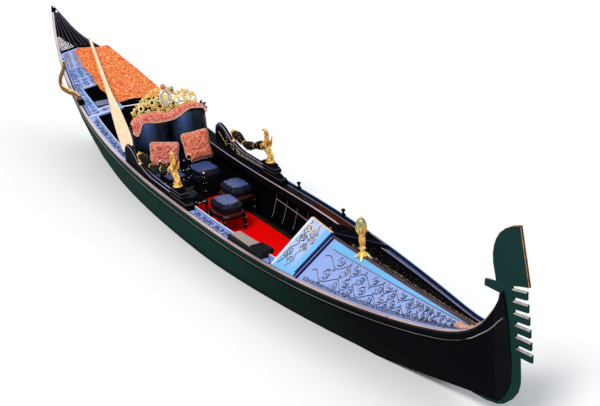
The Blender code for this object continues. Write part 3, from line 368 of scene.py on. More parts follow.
def mathOf(group, kind, a, b=None):
    node = group.nodes.new("ShaderNodeMath")
    node.operation = kind
    for k, value in enumerate((a, b)):
        if value is None:
            continue
        if isinstance(value, (int, float)):
            node.inputs[k].default_value = value
        else:
            group.links.new(value, node.inputs[k])
    return node.outputs["Value"]


def mixOf(group, share, a, b):
    node = group.nodes.new("ShaderNodeMix")
    node.data_type = "RGBA"
    for label, value in (("Factor", share), ("A", a), ("B", b)):
        socket = [s for s in node.inputs if s.name == label and s.enabled][0]
        if isinstance(value, (int, float)):
            socket.default_value = value
        elif isinstance(value, tuple):
            socket.default_value = (*value, 1)
        else:
            group.links.new(value, socket)
    return [s for s in node.outputs if s.enabled][0]


def makeAgedPaint():
    group, given = newGroup("agedPaint", {"Paint": (0.5, 0.5, 0.5), "Bare": (0.2, 0.2, 0.2), "Chipping": 0.3,
                                          "Dirt": 0.3, "Gloss": 0.2})
    place = stretchedPlace(group, (1, 1, 1))
    along = stretchedPlace(group, (0.25, 1, 1))
    broad = noiseOf(group, along, 3.5, 5)
    fine = noiseOf(group, place, 60, 4)
    speck = noiseOf(group, along, 22, 6, 0.7)
    dirty = times(group, rangeOf(group, broad, 0.42, 0.68), given["Dirt"])
    chipped = times(group, rangeOf(group, speck, 0.62, 0.66), given["Chipping"])
    dusky = mixOf(group, dirty, given["Paint"], given["Bare"])
    rougher = plus(group, times(group, fine, 0.10), times(group, dirty, 0.5))
    return putOut(group, mixOf(group, chipped, dusky, given["Bare"]), plus(group, given["Gloss"], rougher),
                  plus(group, times(group, fine, 0.25), times(group, chipped, -0.6)))


def makeWoodGrain():
    group, given = newGroup("woodGrain", {"Light": (0.8, 0.6, 0.4), "Dark": (0.4, 0.2, 0.1), "Gloss": 0.4})
    streak = noiseOf(group, stretchedPlace(group, (1.2, 16, 16)), 3.0, 6, 0.6, 1.2)
    pores = noiseOf(group, stretchedPlace(group, (6, 120, 120)), 4.0, 3)
    share = plus(group, rangeOf(group, streak, 0.35, 0.7), times(group, pores, 0.25))
    return putOut(group, mixOf(group, share, given["Light"], given["Dark"]),
                  plus(group, given["Gloss"], times(group, pores, 0.2)), pores)


def makeLeatherGrain():
    group, given = newGroup("leatherGrain", {"Tone": (0.02, 0.03, 0.07), "Worn": (0.10, 0.13, 0.25),
                                             "Gloss": 0.3})
    place = stretchedPlace(group, (1, 1, 1))
    pebble = group.nodes.new("ShaderNodeTexVoronoi")
    pebble.inputs["Scale"].default_value = 240
    group.links.new(place, pebble.inputs["Vector"])
    crease = noiseOf(group, place, 14, 5, 0.6, 0.8)
    broad = noiseOf(group, place, 4, 3)
    worn = rangeOf(group, plus(group, crease, times(group, broad, 0.5)), 0.72, 1.05)
    height = plus(group, times(group, pebble.outputs["Distance"], 0.5), times(group, crease, 0.8))
    return putOut(group, mixOf(group, worn, given["Tone"], given["Worn"]),
                  plus(group, given["Gloss"], times(group, worn, 0.18)), height)


def makeBrocade():
    group, given = newGroup("brocade", {"Ground": (0.8, 0.2, 0.1), "Motif": (0.9, 0.6, 0.3),
                                        "Shade": (0.5, 0.05, 0.02), "Scale": 9.0, "Warp": 0.16})
    place = stretchedPlace(group, (1, 1, 1))
    drift = group.nodes.new("ShaderNodeTexNoise")
    drift.inputs["Scale"].default_value = 9
    drift.inputs["Detail"].default_value = 2
    group.links.new(place, drift.inputs["Vector"])
    reach = group.nodes.new("ShaderNodeCombineXYZ")
    for socket in reach.inputs:
        group.links.new(given["Warp"], socket)
    bend = group.nodes.new("ShaderNodeVectorMath")
    bend.operation = "MULTIPLY_ADD"
    for socket, value in zip(bend.inputs, (drift.outputs["Color"], reach.outputs["Vector"], place)):
        group.links.new(value, socket)
    petals = group.nodes.new("ShaderNodeTexVoronoi")
    petals.feature = "SMOOTH_F1"
    petals.inputs["Smoothness"].default_value = 0.25
    group.links.new(bend.outputs["Vector"], petals.inputs["Vector"])
    group.links.new(given["Scale"], petals.inputs["Scale"])
    waves = mathOf(group, "SINE", times(group, petals.outputs["Distance"], 21.0))
    motif = rangeOf(group, waves, -0.10, 0.35)
    dark = rangeOf(group, waves, -0.75, -0.25, 1.0, 0.0)
    thread = group.nodes.new("ShaderNodeTexWave")
    thread.inputs["Scale"].default_value = 130
    thread.inputs["Distortion"].default_value = 1.5
    group.links.new(place, thread.inputs["Vector"])
    shimmer = noiseOf(group, place, 55, 4)
    base = mixOf(group, times(group, dark, 0.8), given["Ground"], given["Shade"])
    lit = mixOf(group, times(group, motif, rangeOf(group, shimmer, 0.3, 0.55)), base, given["Motif"])
    return putOut(group, lit, rangeOf(group, shimmer, 0.3, 0.7, 0.55, 0.9),
                  plus(group, times(group, motif, 0.8), times(group, thread.outputs["Fac"], 0.25)))


def makeGilding():
    group, given = newGroup("gilding", {"Bright": (1.0, 0.72, 0.22), "Deep": (0.55, 0.26, 0.05),
                                        "Gloss": 0.2})
    place = stretchedPlace(group, (1, 1, 1))
    broad = noiseOf(group, place, 18, 4)
    fine = noiseOf(group, place, 140, 3)
    tone = mixOf(group, rangeOf(group, broad, 0.40, 0.72), given["Bright"], given["Deep"])
    return putOut(group, tone, plus(group, given["Gloss"], times(group, fine, 0.25)),
                  plus(group, times(group, broad, 0.7), fine))


groups = {
    "agedPaint": makeAgedPaint(),
    "woodGrain": makeWoodGrain(),
    "leatherGrain": makeLeatherGrain(),
    "brocade": makeBrocade(),
    "gilding": makeGilding(),
}
print("shared shader groups made:", len(groups))


# Short names of the shader's sockets
shaderSockets = {
    "metal": "Metallic",
    "coat": "Coat Weight",
    "coatRough": "Coat Roughness",
    "sheen": "Sheen Weight",
    "specular": "Specular IOR Level",
}


def addBump(tree, height, strength, size):
    ridge = tree.nodes.new("ShaderNodeBump")
    ridge.inputs["Strength"].default_value = strength
    ridge.inputs["Distance"].default_value = size
    tree.links.new(height, ridge.inputs["Height"])
    tree.links.new(ridge.outputs["Normal"], tree.nodes["Principled BSDF"].inputs["Normal"])


# One finish: a Principled shader fed by one of the groups
def newFinish(name, group, values, bump=0.2, bumpSize=0.001, **shaderValues):
    finish = bpy.data.materials.new(name)
    finish.use_nodes = True
    tree = finish.node_tree
    shader = tree.nodes["Principled BSDF"]
    source = tree.nodes.new("ShaderNodeGroup")
    source.node_tree = groups[group]
    for label, value in values.items():
        source.inputs[label].default_value = (*value, 1) if isinstance(value, tuple) else value
    tree.links.new(source.outputs["Color"], shader.inputs["Base Color"])
    tree.links.new(source.outputs["Roughness"], shader.inputs["Roughness"])
    if bump:
        addBump(tree, source.outputs["Height"], bump, bumpSize)
    shaderValues.setdefault("specular", 0.25)
    for label, value in shaderValues.items():
        shader.inputs[shaderSockets[label]].default_value = value
    return finish


blackGloss = {"specular": 0.0, "coat": 0.04, "coatRough": 0.10}

# paint, what shows where it is worn, chipping, dirt, roughness, other shader values
paints = {
    "blackLacquer": ((0.0030, 0.0034, 0.0050), (0.014, 0.013, 0.014), 0.25, 0.25, 0.25, blackGloss),
    "blackMatte": ((0.0024, 0.0027, 0.0040), (0.005, 0.005, 0.006), 0.25, 0.25, 0.60, {"specular": 0.0}),
    "skyPaint": ((0.29, 0.41, 0.80), (0.20, 0.29, 0.60), 0.25, 0.35, 0.32, {"coat": 0.1}),
    "cyanPaint": ((0.17, 0.50, 0.86), (0.12, 0.34, 0.68), 0.2, 0.3, 0.30, {"coat": 0.15}),
    "navyPaint": ((0.003, 0.008, 0.085), (0.008, 0.015, 0.10), 0.25, 0.3, 0.30, {"specular": 0.02}),
    # the next two also colour the shaded slopes of carved strokes, as painted shade, besides dark lines
    "inkLineAndShade": ((0.006, 0.011, 0.050), (0.03, 0.03, 0.07), 0.4, 0.3, 0.45, {}),
    "navyInkAndShade": ((0.006, 0.014, 0.085), (0.02, 0.035, 0.15), 0.4, 0.3, 0.40, {}),
    "pearlPaint": ((0.72, 0.64, 0.78), (0.42, 0.44, 0.70), 0.5, 0.5, 0.35, {}),
    "whitePaint": ((0.80, 0.82, 0.90), (0.50, 0.56, 0.72), 0.4, 0.4, 0.35, {}),
    "lilacPaint": ((0.46, 0.42, 0.62), (0.10, 0.08, 0.14), 0.6, 0.5, 0.25, {}),
    "lilacBlue": ((0.34, 0.42, 0.82), (0.24, 0.28, 0.60), 0.3, 0.4, 0.32, {}),
    "blueBody": ((0.09, 0.17, 0.46), (0.04, 0.08, 0.28), 0.3, 0.4, 0.32, {}),
    "darkPearl": ((0.12, 0.11, 0.15), (0.03, 0.026, 0.03), 0.5, 0.4, 0.30, {}),
    "ribPale": ((0.66, 0.62, 0.62), (0.30, 0.27, 0.27), 0.5, 0.4, 0.40, {}),
    "railPaint": ((0.66, 0.47, 0.48), (0.20, 0.10, 0.09), 0.8, 0.5, 0.35, {}),
    "rubLine": ((0.30, 0.29, 0.24), (0.08, 0.07, 0.06), 0.6, 0.5, 0.40, {}),
    "tealWhite": ((0.34, 0.56, 0.60), (0.06, 0.16, 0.18), 0.5, 0.4, 0.30, {}),
    "cream": ((0.88, 0.74, 0.50), (0.60, 0.40, 0.20), 0.4, 0.4, 0.35, {}),
    "steelGreen": ((0.003, 0.032, 0.029), (0.004, 0.019, 0.017), 0.3, 0.6, 0.35,
                   {"coat": 0.04, "specular": 0.02}),
    "redDot": ((0.70, 0.03, 0.03), (0.40, 0.02, 0.02), 0.3, 0.3, 0.35, {}),
    "carpetSeam": ((0.42, 0.002, 0.002), (0.30, 0.001, 0.001), 0.2, 0.3, 0.80, {"specular": 0.0}),
}
# lighter and darker grain, roughness, bump, other shader values
woods = {
    "brownLacquer": ((0.080, 0.017, 0.012), (0.020, 0.006, 0.005), 0.45, 0.2, {"specular": 0.0}),
    "ridgeBrown": ((0.24, 0.12, 0.10), (0.06, 0.022, 0.018), 0.35, 0.3, {}),
    "boardWood": ((0.030, 0.015, 0.012), (0.008, 0.004, 0.004), 0.50, 0.3, {"specular": 0.1}),
    "oarWood": ((0.98, 0.84, 0.66), (0.93, 0.62, 0.32), 0.40, 0.2, {}),
}
# bright and deep tone, roughness, metallic, bump, bump size
gildings = {
    "gold": ((1.0, 0.66, 0.15), (0.86, 0.38, 0.04), 0.20, 0.50, 0.4, 0.002),
    "paleGold": ((1.0, 0.90, 0.50), (0.98, 0.64, 0.15), 0.24, 0.35, 0.4, 0.002),
    "brownGold": ((0.16, 0.080, 0.033), (0.008, 0.004, 0.004), 0.45, 0.12, 0.5, 0.002),
    "greenGold": ((0.52, 0.52, 0.22), (0.12, 0.17, 0.06), 0.22, 0.55, 0.5, 0.002),
    "silver": ((0.86, 0.84, 0.88), (0.60, 0.55, 0.64), 0.20, 0.70, 0.3, 0.001),
    "toothTopHighlight": ((0.50, 0.49, 0.45), (0.26, 0.20, 0.13), 0.35, 0.20, 0.4, 0.001),
    "copperGold": ((0.90, 0.40, 0.13), (0.46, 0.15, 0.05), 0.28, 0.45, 0.4, 0.001),
    "steelBlueHighlight": ((0.20, 0.26, 0.32), (0.07, 0.10, 0.14), 0.30, 0.30, 0.3, 0.001),
    "redGold": ((0.80, 0.22, 0.17), (0.52, 0.09, 0.07), 0.30, 0.30, 0.3, 0.001),
}
# ground, motif, shade, scale, warp, bump, bump size
brocades = {
    "brocadeRug": ((0.86, 0.085, 0.012), (0.97, 0.44, 0.11), (0.68, 0.12, 0.020), 9.5, 0.12, 0.8, 0.003),
    "brocadeCoral": ((0.80, 0.15, 0.075), (0.92, 0.40, 0.24), (0.64, 0.07, 0.035), 15.0, 0.10, 0.6, 0.002),
    "brocadePink": ((0.79, 0.16, 0.105), (0.92, 0.42, 0.31), (0.62, 0.07, 0.05), 14.0, 0.11, 0.6, 0.002),
    "creamTrim": ((0.92, 0.66, 0.42), (1.0, 0.86, 0.66), (0.78, 0.36, 0.20), 60.0, 0.02, 0.6, 0.002),
    "rugEdge": ((0.70, 0.22, 0.06), (0.95, 0.60, 0.22), (0.30, 0.04, 0.02), 40.0, 0.02, 0.6, 0.002),
    "redBand": ((0.82, 0.03, 0.012), (0.92, 0.16, 0.05), (0.45, 0.01, 0.01), 40.0, 0.02, 0.6, 0.002),
}
# tone, worn tone, roughness, bump, bump size, other shader values
leathers = {
    "leather": ((0.0050, 0.0075, 0.018), (0.011, 0.018, 0.042), 0.34, 0.12, 0.001,
                {"specular": 0.20, "coat": 0.06, "coatRough": 0.30}),
    "blackFur": ((0.0035, 0.0040, 0.0055), (0.012, 0.013, 0.018), 0.55, 0.3, 0.001, {"specular": 0.12}),
}

finishes = {}
for name, (paint, bare, chipping, dirt, gloss, extra) in paints.items():
    finishes[name] = newFinish(name, "agedPaint", {"Paint": paint, "Bare": bare, "Chipping": chipping,
                                                   "Dirt": dirt, "Gloss": gloss}, **extra)
for name, (light, dark, gloss, bump, extra) in woods.items():
    finishes[name] = newFinish(name, "woodGrain", {"Light": light, "Dark": dark, "Gloss": gloss}, bump,
                               **extra)
for name, (bright, deep, gloss, metal, bump, size) in gildings.items():
    finishes[name] = newFinish(name, "gilding", {"Bright": bright, "Deep": deep, "Gloss": gloss}, bump, size,
                               metal=metal, specular=0.5)
for name, (ground, motif, shade, scale, warp, bump, size) in brocades.items():
    finishes[name] = newFinish(name, "brocade", {"Ground": ground, "Motif": motif, "Shade": shade,
                                                 "Scale": scale, "Warp": warp}, bump, size, sheen=0.08)
for name, (tone, worn, gloss, bump, size, extra) in leathers.items():
    finishes[name] = newFinish(name, "leatherGrain", {"Tone": tone, "Worn": worn, "Gloss": gloss}, bump,
                               size, **extra)


# A finish's node tree, its shader and its group
def partsOf(finish):
    tree = finish.node_tree
    return tree, tree.nodes["Principled BSDF"].inputs, tree.nodes["Group"].outputs["Color"]


def placeParts(tree, output="Object"):
    place = tree.nodes.new("ShaderNodeTexCoord")
    parts = tree.nodes.new("ShaderNodeSeparateXYZ")
    tree.links.new(place.outputs[output], parts.inputs["Vector"])
    return parts.outputs


# The hull is green-black amidships, black at the bow and inside, and darker along the bottom
hullPaint = {
    "green": (0.0045, 0.030, 0.024),
    "black": (0.0022, 0.0026, 0.0038),
    "greenUntil": 1.0,
    "blackFrom": 3.4,
    "darkerBelow": 0.16,
}


def makeHullPaint():
    finish = newFinish("hullPaint", "agedPaint",
                       {"Paint": hullPaint["green"], "Bare": (0.014, 0.024, 0.021), "Chipping": 0.2,
                        "Dirt": 0.25, "Gloss": 0.25}, 0.10, 0.001, specular=0.0, coat=0.035, coatRough=0.15)
    tree, shader, tone = partsOf(finish)
    at = placeParts(tree)
    facing = placeParts(tree, "Normal")
    ahead = rangeOf(tree, at["X"], hullPaint["greenUntil"], hullPaint["blackFrom"])
    ends = mixOf(tree, ahead, tone, hullPaint["black"])
    lowBand = rangeOf(tree, at["Z"], hullPaint["darkerBelow"] - 0.02, hullPaint["darkerBelow"], 0.6, 0.0)
    outside = mixOf(tree, lowBand, ends, (0.003, 0.008, 0.007))
    inward = rangeOf(tree, times(tree, at["Y"], facing["Y"]), -0.002, 0.002, 1.0, 0.0)
    tree.links.new(mixOf(tree, inward, outside, hullPaint["black"]), shader["Base Color"])
    return finish


# Finishes with painted light: a second, lit tone where their faces look one way, uneven at its border
paintedLightTones = {
    # group, first tone, worn tone, second tone (the painted lit tone), faces to, from and to how far,
    # roughness
    # painted light: the pads' upward tops take a lit slate-blue tone
    "padLeather": ("leatherGrain", (0.0055, 0.0075, 0.018), (0.011, 0.016, 0.038), (0.058, 0.090, 0.265),
                   (0, 0, 1), 0.990, 1.050, 0.34),
    # painted highlight: the back's leather takes a lighter blue spot on each half, placed by backShine
    "backLeather": ("leatherGrain", (0.0042, 0.0066, 0.016), (0.009, 0.015, 0.036), (0.060, 0.115, 0.290),
                    (0, 0, 0), 0.05, 1.0, 0.32),
    # painted light: the stool frames' upward faces take a lit red-brown tone, the rest stays near black
    "stoolFrameLitTops": ("leatherGrain", (0.0040, 0.0030, 0.0032), (0.008, 0.005, 0.005), (0.120, 0.014, 0.009),
                   (0, 0, 1), 0.70, 1.05, 0.30),
    # painted highlight: the forcola's upward faces take a bright gold tone
    "walnut": ("woodGrain", (0.34, 0.15, 0.030), (0.085, 0.030, 0.008), (0.95, 0.66, 0.25),
               (0, 0, 1), 0.35, 0.85, 0.28),
}
# Middle and half width of the highlight on each half of the seat's back, and its height
backShine = {"spots": ((-0.215, 0.135), (0.285, 0.140)), "from": 0.66, "full": 1.02}


def makePaintedLightTone(name):
    group, tone, worn, second, facing, low, high, gloss = paintedLightTones[name]
    labels = ("Tone", "Worn") if group == "leatherGrain" else ("Light", "Dark")
    finish = newFinish(name, group, {labels[0]: tone, labels[1]: worn, "Gloss": gloss}, 0.15, 0.001,
                       specular=0.12, coat=0.04, coatRough=0.30)
    tree, shader, first = partsOf(finish)
    normal = placeParts(tree, "Normal")
    looks = plus(tree, times(tree, normal["X"], float(facing[0])),
                 plus(tree, times(tree, normal["Y"], float(facing[1])),
                      times(tree, normal["Z"], float(facing[2]))))
    # painted highlight: lighter spots on each half of the back, fading out lower down
    if name == "backLeather":
        at = placeParts(tree)
        for middle, half in backShine["spots"]:
            off = mathOf(tree, "ABSOLUTE", mathOf(tree, "SUBTRACT", at["Y"], middle))
            looks = plus(tree, looks, rangeOf(tree, off, 0.0, half, 1.0, 0.0))
        looks = times(tree, looks, rangeOf(tree, at["Z"], backShine["from"], backShine["full"], 0.0, 0.9))
    uneven = times(tree, noiseOf(tree, stretchedPlace(tree, (1, 1, 1)), 16, 4), 0.10)
    share = rangeOf(tree, plus(tree, looks, uneven), low, high)
    tree.links.new(mixOf(tree, share, first, second), shader["Base Color"])
    return finish


# A rail is painted pale on top and black on its sides; on the rub strake the pale top is a painted highlight
# along its upper edge
def makeRailTop(name, paint, bare, gloss=0.1, low=0.55):
    finish = newFinish(name, "agedPaint",
                       {"Paint": paint, "Bare": bare, "Chipping": 0.9, "Dirt": 0.6, "Gloss": 0.32}, 0.0,
                       specular=gloss, coat=gloss)
    tree, shader, tone = partsOf(finish)
    top = rangeOf(tree, placeParts(tree, "Normal")["Z"], low, low + 0.2)
    aft = rangeOf(tree, placeParts(tree)["X"], -3.0, 0.5, 0.75, 0.0)
    pale = mixOf(tree, aft, tone, tuple(0.25 * c + 0.75 * max(paint) for c in paint))
    tree.links.new(mixOf(tree, top, hullPaint["black"], pale), shader["Base Color"])
    return finish


# The red carpet: short pile
carpetPile = {"red": (1.0, 0.0030, 0.0024), "shade": (0.80, 0.0016, 0.0015), "nap": 420}


def makeCarpetPile():
    finish = newFinish("carpetPile", "agedPaint",
                       {"Paint": carpetPile["red"], "Bare": carpetPile["shade"], "Chipping": 0.1,
                        "Dirt": 0.35, "Gloss": 0.8}, 0.0, specular=0.0)
    tree = finish.node_tree
    nap = noiseOf(tree, stretchedPlace(tree, (1, 1, 1)), carpetPile["nap"], 2)
    addBump(tree, nap, 0.7, 0.004)
    return finish


# Two paints on one node, parted by a line across the boat (0) or along it (1):
# paint, worn tone, roughness, bump size, 0 or 1, the line's x or y, specular
partings = {
    # grey-brown bristle aft of the line, a black ribbed block ahead of it
    "boardingMat": ((0.38, 0.32, 0.30), (0.22, 0.17, 0.16), 0.65, 0.003, 0, 1.682, 0.2),
    # the step's blue face ends at its crown
    "stepPaint": ((0.42, 0.55, 0.84), (0.34, 0.45, 0.76), 0.30, 0.001, 1, 0.004, 0.0),
}


def makeParted(name):
    paint, bare, gloss, bumpSize, along, line, specular = partings[name]
    finish = newFinish(name, "agedPaint", {"Paint": paint, "Bare": bare, "Chipping": 0.3, "Dirt": 0.4,
                                           "Gloss": gloss}, 0.4, bumpSize, specular=specular)
    tree, shader, tone = partsOf(finish)
    beyond = rangeOf(tree, placeParts(tree)["XY"[along]], line - 0.001, line)
    paints = tone
    at = placeParts(tree)
    if along:       # cyan at the starboard end and along the fore edge, navy on the fore face
        cyan = mathOf(tree, "MAXIMUM", rangeOf(tree, at["Y"], -0.46, -0.30, 1.0, 0.0),
                      rangeOf(tree, at["X"], 2.37, 2.42))
        paints = mixOf(tree, cyan, paints, (0.19, 0.50, 0.86))
        face = rangeOf(tree, placeParts(tree, "Normal")["X"], 0.6, 0.8)
        paints = mixOf(tree, face, paints, (0.003, 0.008, 0.085))
    else:           # the mat is black along its outboard edge
        # painted shadow: black along the mat's outboard edge, in the gap beside the rail
        paints = mixOf(tree, rangeOf(tree, at["Y"], -0.508, -0.500), (0.004, 0.004, 0.006), paints)
    tree.links.new(mixOf(tree, beyond, paints, (0.005, 0.005, 0.007)), shader["Base Color"])
    return finish


finishes["hullPaint"] = makeHullPaint()
finishes["railTop"] = makeRailTop("railTop", (0.66, 0.47, 0.48), (0.16, 0.08, 0.07))
finishes["railTopDark"] = makeRailTop("railTopDark", (0.005, 0.009, 0.070), (0.008, 0.010, 0.040), 0.0)
# painted light: the rub strake's upward faces take a pale highlight, its sides the hull's black
finishes["rubLitTop"] = makeRailTop("rubLitTop", (0.30, 0.29, 0.24), (0.08, 0.07, 0.06), 0.0, 0.2)
for name in paintedLightTones:
    finishes[name] = makePaintedLightTone(name)
finishes["carpetPile"] = makeCarpetPile()
finishes["boardingMat"] = makeParted("boardingMat")
finishes["stepPaint"] = makeParted("stepPaint")
print("finishes made:", len(finishes))

# What each CAD node wears
nodeFinish = {
    "blackLacquer": ("stem_post", "stern_post", "fore_bulkhead", "stern_bulkhead", "stern_top", "stern_well",
                     "side_deck_port", "parapet_port", "parapet_starboard", "pedestal_port",
                     "pedestal_starboard", "cleat_aft", "cleat_fore", "seat_base", "chair_frame", "frames",
                     "forcola_block"),
    "blackMatte": ("fore_deck_port", "stern_deck_port"),
    "hullPaint": ("bottom_planking", "side_planking_port", "side_planking_starboard"),
    "railTop": ("gunwale_starboard",),
    "railTopDark": ("gunwale_port", "stringer_port", "stringer_starboard"),
    "rubLitTop": ("rub_strake_port", "rub_strake_starboard"),
    "ridgeBrown": ("fore_ridge",),
    "skyPaint": ("side_deck_starboard", "fore_deck_starboard", "stern_deck_starboard"),
    "stepPaint": ("fore_step",),
    "boardWood": ("floor_boards",),
    "stoolFrameLitTops": ("stool_port_frame", "stool_centre_frame"),
    "oarWood": ("oar",),
    "walnut": ("forcola",),
    "steelGreen": ("bow_iron",),
    "boardingMat": ("boarding_step",),
}


def dressNodes():
    for finish, names in nodeFinish.items():
        for name in names:
            data = nodes[name].data
            data.materials.clear()
            data.materials.append(finishes[finish])


# The floor lies at the waterline and has a hole of the hull's own outline there
floorPlan = {"height": 0.08, "reach": 60.0, "insideHull": 0.006, "colour": (0.95, 0.955, 0.96)}


def layFloor():
    height = floorPlan["height"]
    outline = {starboard: [], port: []}
    for side in sideName:
        tree = surfaceOf("side_planking_" + sideName[side], "bottom_planking")
        for k in range(160):
            x = -5.0 + 9.6 * k / 159
            place = meet(tree, (x, side * 2.0, height), (0, -side, 0))
            if place is not None and side * place.y > 0.01:
                outline[side].append((x, place.y - side * floorPlan["insideHull"]))
    ring = outline[starboard] + outline[port][::-1]
    mesh = bmesh.new()
    inner = [mesh.verts.new((x, y, height)) for x, y in ring]
    reach = floorPlan["reach"]
    outer = [mesh.verts.new((reach * math.cos(a), reach * math.sin(a), height)) for a in anglesOf(48)]
    edges = [mesh.edges.new((loop[i], loop[(i + 1) % len(loop)])) for loop in (inner, outer)
             for i in range(len(loop))]
    bmesh.ops.triangle_fill(mesh, use_beauty=True, use_dissolve=False, edges=edges, normal=(0, 0, 1))
    data = bpy.data.meshes.new("floor")
    mesh.to_mesh(data)
    mesh.free()
    finish = bpy.data.materials.new("paleFloor")
    finish.use_nodes = True
    shader = finish.node_tree.nodes["Principled BSDF"]
    shader.inputs["Base Color"].default_value = (*floorPlan["colour"], 1)
    shader.inputs["Roughness"].default_value = 0.8
    shader.inputs["Specular IOR Level"].default_value = 0.1
    data.materials.append(finish)
    floor = bpy.data.objects.new("floor", data)
    bpy.context.scene.collection.objects.link(floor)


dressNodes()
placeCamera()
lightTheBoat()
layFloor()
print("camera, light and floor placed")

# Stuffed pieces: remeshed, blown up a little by the cloth solver, then smoothed
swelling = {"pressure": 4.0, "frames": 20, "stiffness": 15.0}


def evaluatedMesh(piece):
    graph = bpy.context.evaluated_depsgraph_get()
    return bpy.data.meshes.new_from_object(piece.evaluated_get(graph))


def swapMesh(piece, mesh):
    old = piece.data
    piece.modifiers.clear()
    piece.data = mesh
    bpy.data.meshes.remove(old)


def swell(piece, voxel, most, smooth=1):
    remesh = piece.modifiers.new("even mesh", "REMESH")
    remesh.mode = "VOXEL"
    remesh.voxel_size = voxel
    swapMesh(piece, evaluatedMesh(piece))
    scene = bpy.context.scene
    scene.frame_set(1)
    start = [v.co.copy() for v in piece.data.vertices]
    cloth = piece.modifiers.new("stuffing", "CLOTH")
    cloth.settings.use_pressure = True
    cloth.settings.uniform_pressure_force = swelling["pressure"]
    cloth.settings.effector_weights.gravity = 0
    cloth.settings.tension_stiffness = swelling["stiffness"]
    cloth.settings.compression_stiffness = swelling["stiffness"]
    cloth.point_cache.frame_end = swelling["frames"]
    for k in range(1, swelling["frames"] + 1):
        scene.frame_set(k)
        bpy.context.view_layer.update()
    swapMesh(piece, evaluatedMesh(piece))
    for vertex, was in zip(piece.data.vertices, start):
        move = vertex.co - was
        if move.length > most:
            vertex.co = was + move * (most / move.length)
    scene.frame_set(1)
    for face in piece.data.polygons:
        face.use_smooth = True
    if smooth:
        finer = piece.modifiers.new("finer", "SUBSURF")
        finer.levels = finer.render_levels = smooth
    return piece


def treeOf(piece):
    points = [piece.matrix_world @ v.co for v in piece.data.vertices]
    return BVHTree.FromPolygons(points, [tuple(p.vertices) for p in piece.data.polygons])


# Outline of a soft-cornered pad, from its lower to its upper face
def padRings(halfX, halfY, thick, levels, power=4.0, sides=40, wave=0.0, waves=8):
    rings = []
    for scale, share in levels:
        ring = []
        for angle in anglesOf(sides, 0, 0.5):
            c, s = math.cos(angle), math.sin(angle)
            reach = (abs(c) ** power + abs(s) ** power) ** (-1 / power)
            reach *= 1 + wave * math.cos(waves * angle)
            ring.append(Vector((halfX * scale * reach * c, halfY * scale * reach * s, thick * share)))
        rings.append(ring)
    return rings


# Piping sewn round a pad at one height, found from outside
def pipe(name, tree, centre, heightZ, reach, finish, radius=0.0045, body="boat", count=72):
    path = []
    for angle in anglesOf(count):
        away = Vector((math.cos(angle), math.sin(angle), 0))
        start = Vector((centre[0], centre[1], heightZ)) + away * reach
        hit = meet(tree, start, -away)
        if hit is not None:
            path.append(hit + away * radius * 0.2)
    piece = Workpiece()
    path += path[:2]
    piece.rod(path, radius, 6)
    return piece.make(name, finish, body)


seatPads = {
    "levels": ((0.84, 0.02), (0.97, 0.14), (1.0, 0.36), (0.985, 0.58), (0.90, 0.77), (0.70, 0.85),
               (0.45, 0.87)),
    # node, finish, shrink in metres, corner power, edge wave
    "pads": (("seat_pad_port", "padLeather", 0.012, 5.0, 0.0),
             ("seat_pad_starboard", "padLeather", 0.012, 5.0, 0.0),
             ("stool_port_pad", "padLeather", 0.012, 3.4, 0.030),
             ("stool_centre_pad", "padLeather", 0.012, 3.4, 0.030),
             ("chair_pad", "leather", 0.008, 4.0, 0.0)),
    "voxel": 0.0085,
    "most": 0.016,
}


def makeSeatPads():
    for node, finish, shrink, power, wave in seatPads["pads"]:
        low, high = (Vector(c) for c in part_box(node))
        half = (high - low) / 2
        middle = (low + high) / 2
        piece = Workpiece()
        turn = Vector((middle.x, middle.y, low.z + 0.004))
        rings = padRings(half.x - shrink, half.y - shrink, high.z - low.z - 0.004, seatPads["levels"], power,
                         48, wave)
        piece.rings([[p + turn for p in ring] for ring in rings])
        pad = piece.make(node + "_leather", finish)
        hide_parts(node)
        swell(pad, seatPads["voxel"], seatPads["most"])
        tree = treeOf(pad)
        pipe(node + "_piping", tree, middle, low.z + 0.70 * (high.z - low.z), 0.6, "leather")
        pipe(node + "_piping_low", tree, middle, low.z + 0.18 * (high.z - low.z), 0.6, "leather")


# The seat's back: two leather lobes with a seam between them
seatBack = {
    "middle": 0.12, "middleZ": 0.70, "half": 0.542, "lowHalf": 0.432, "flare": 0.69, "low": 0.304,
    "lobe": 1.147, "valley": 1.06, "rake": 0.14, "frontX": -1.575, "frontZ": 0.44,
    "recess": 0.030, "thick": 0.060, "voxel": 0.0125, "most": 0.026,
    "levels": ((0.50, -0.50), (0.70, -0.36), (0.86, -0.12), (0.965, 0.16), (0.997, 0.45), (1.0, 1.0)),
}


def backFrontX(z):
    return seatBack["frontX"] - seatBack["rake"] * (z - seatBack["frontZ"])


def backTop(share):
    lobe = math.sin(math.pi * min(abs(share) * 1.02, 1.0)) ** 0.45
    edge = seatBack["valley"] - 0.02 if abs(share) > 0.5 else seatBack["valley"]
    return edge + (seatBack["lobe"] - edge) * lobe


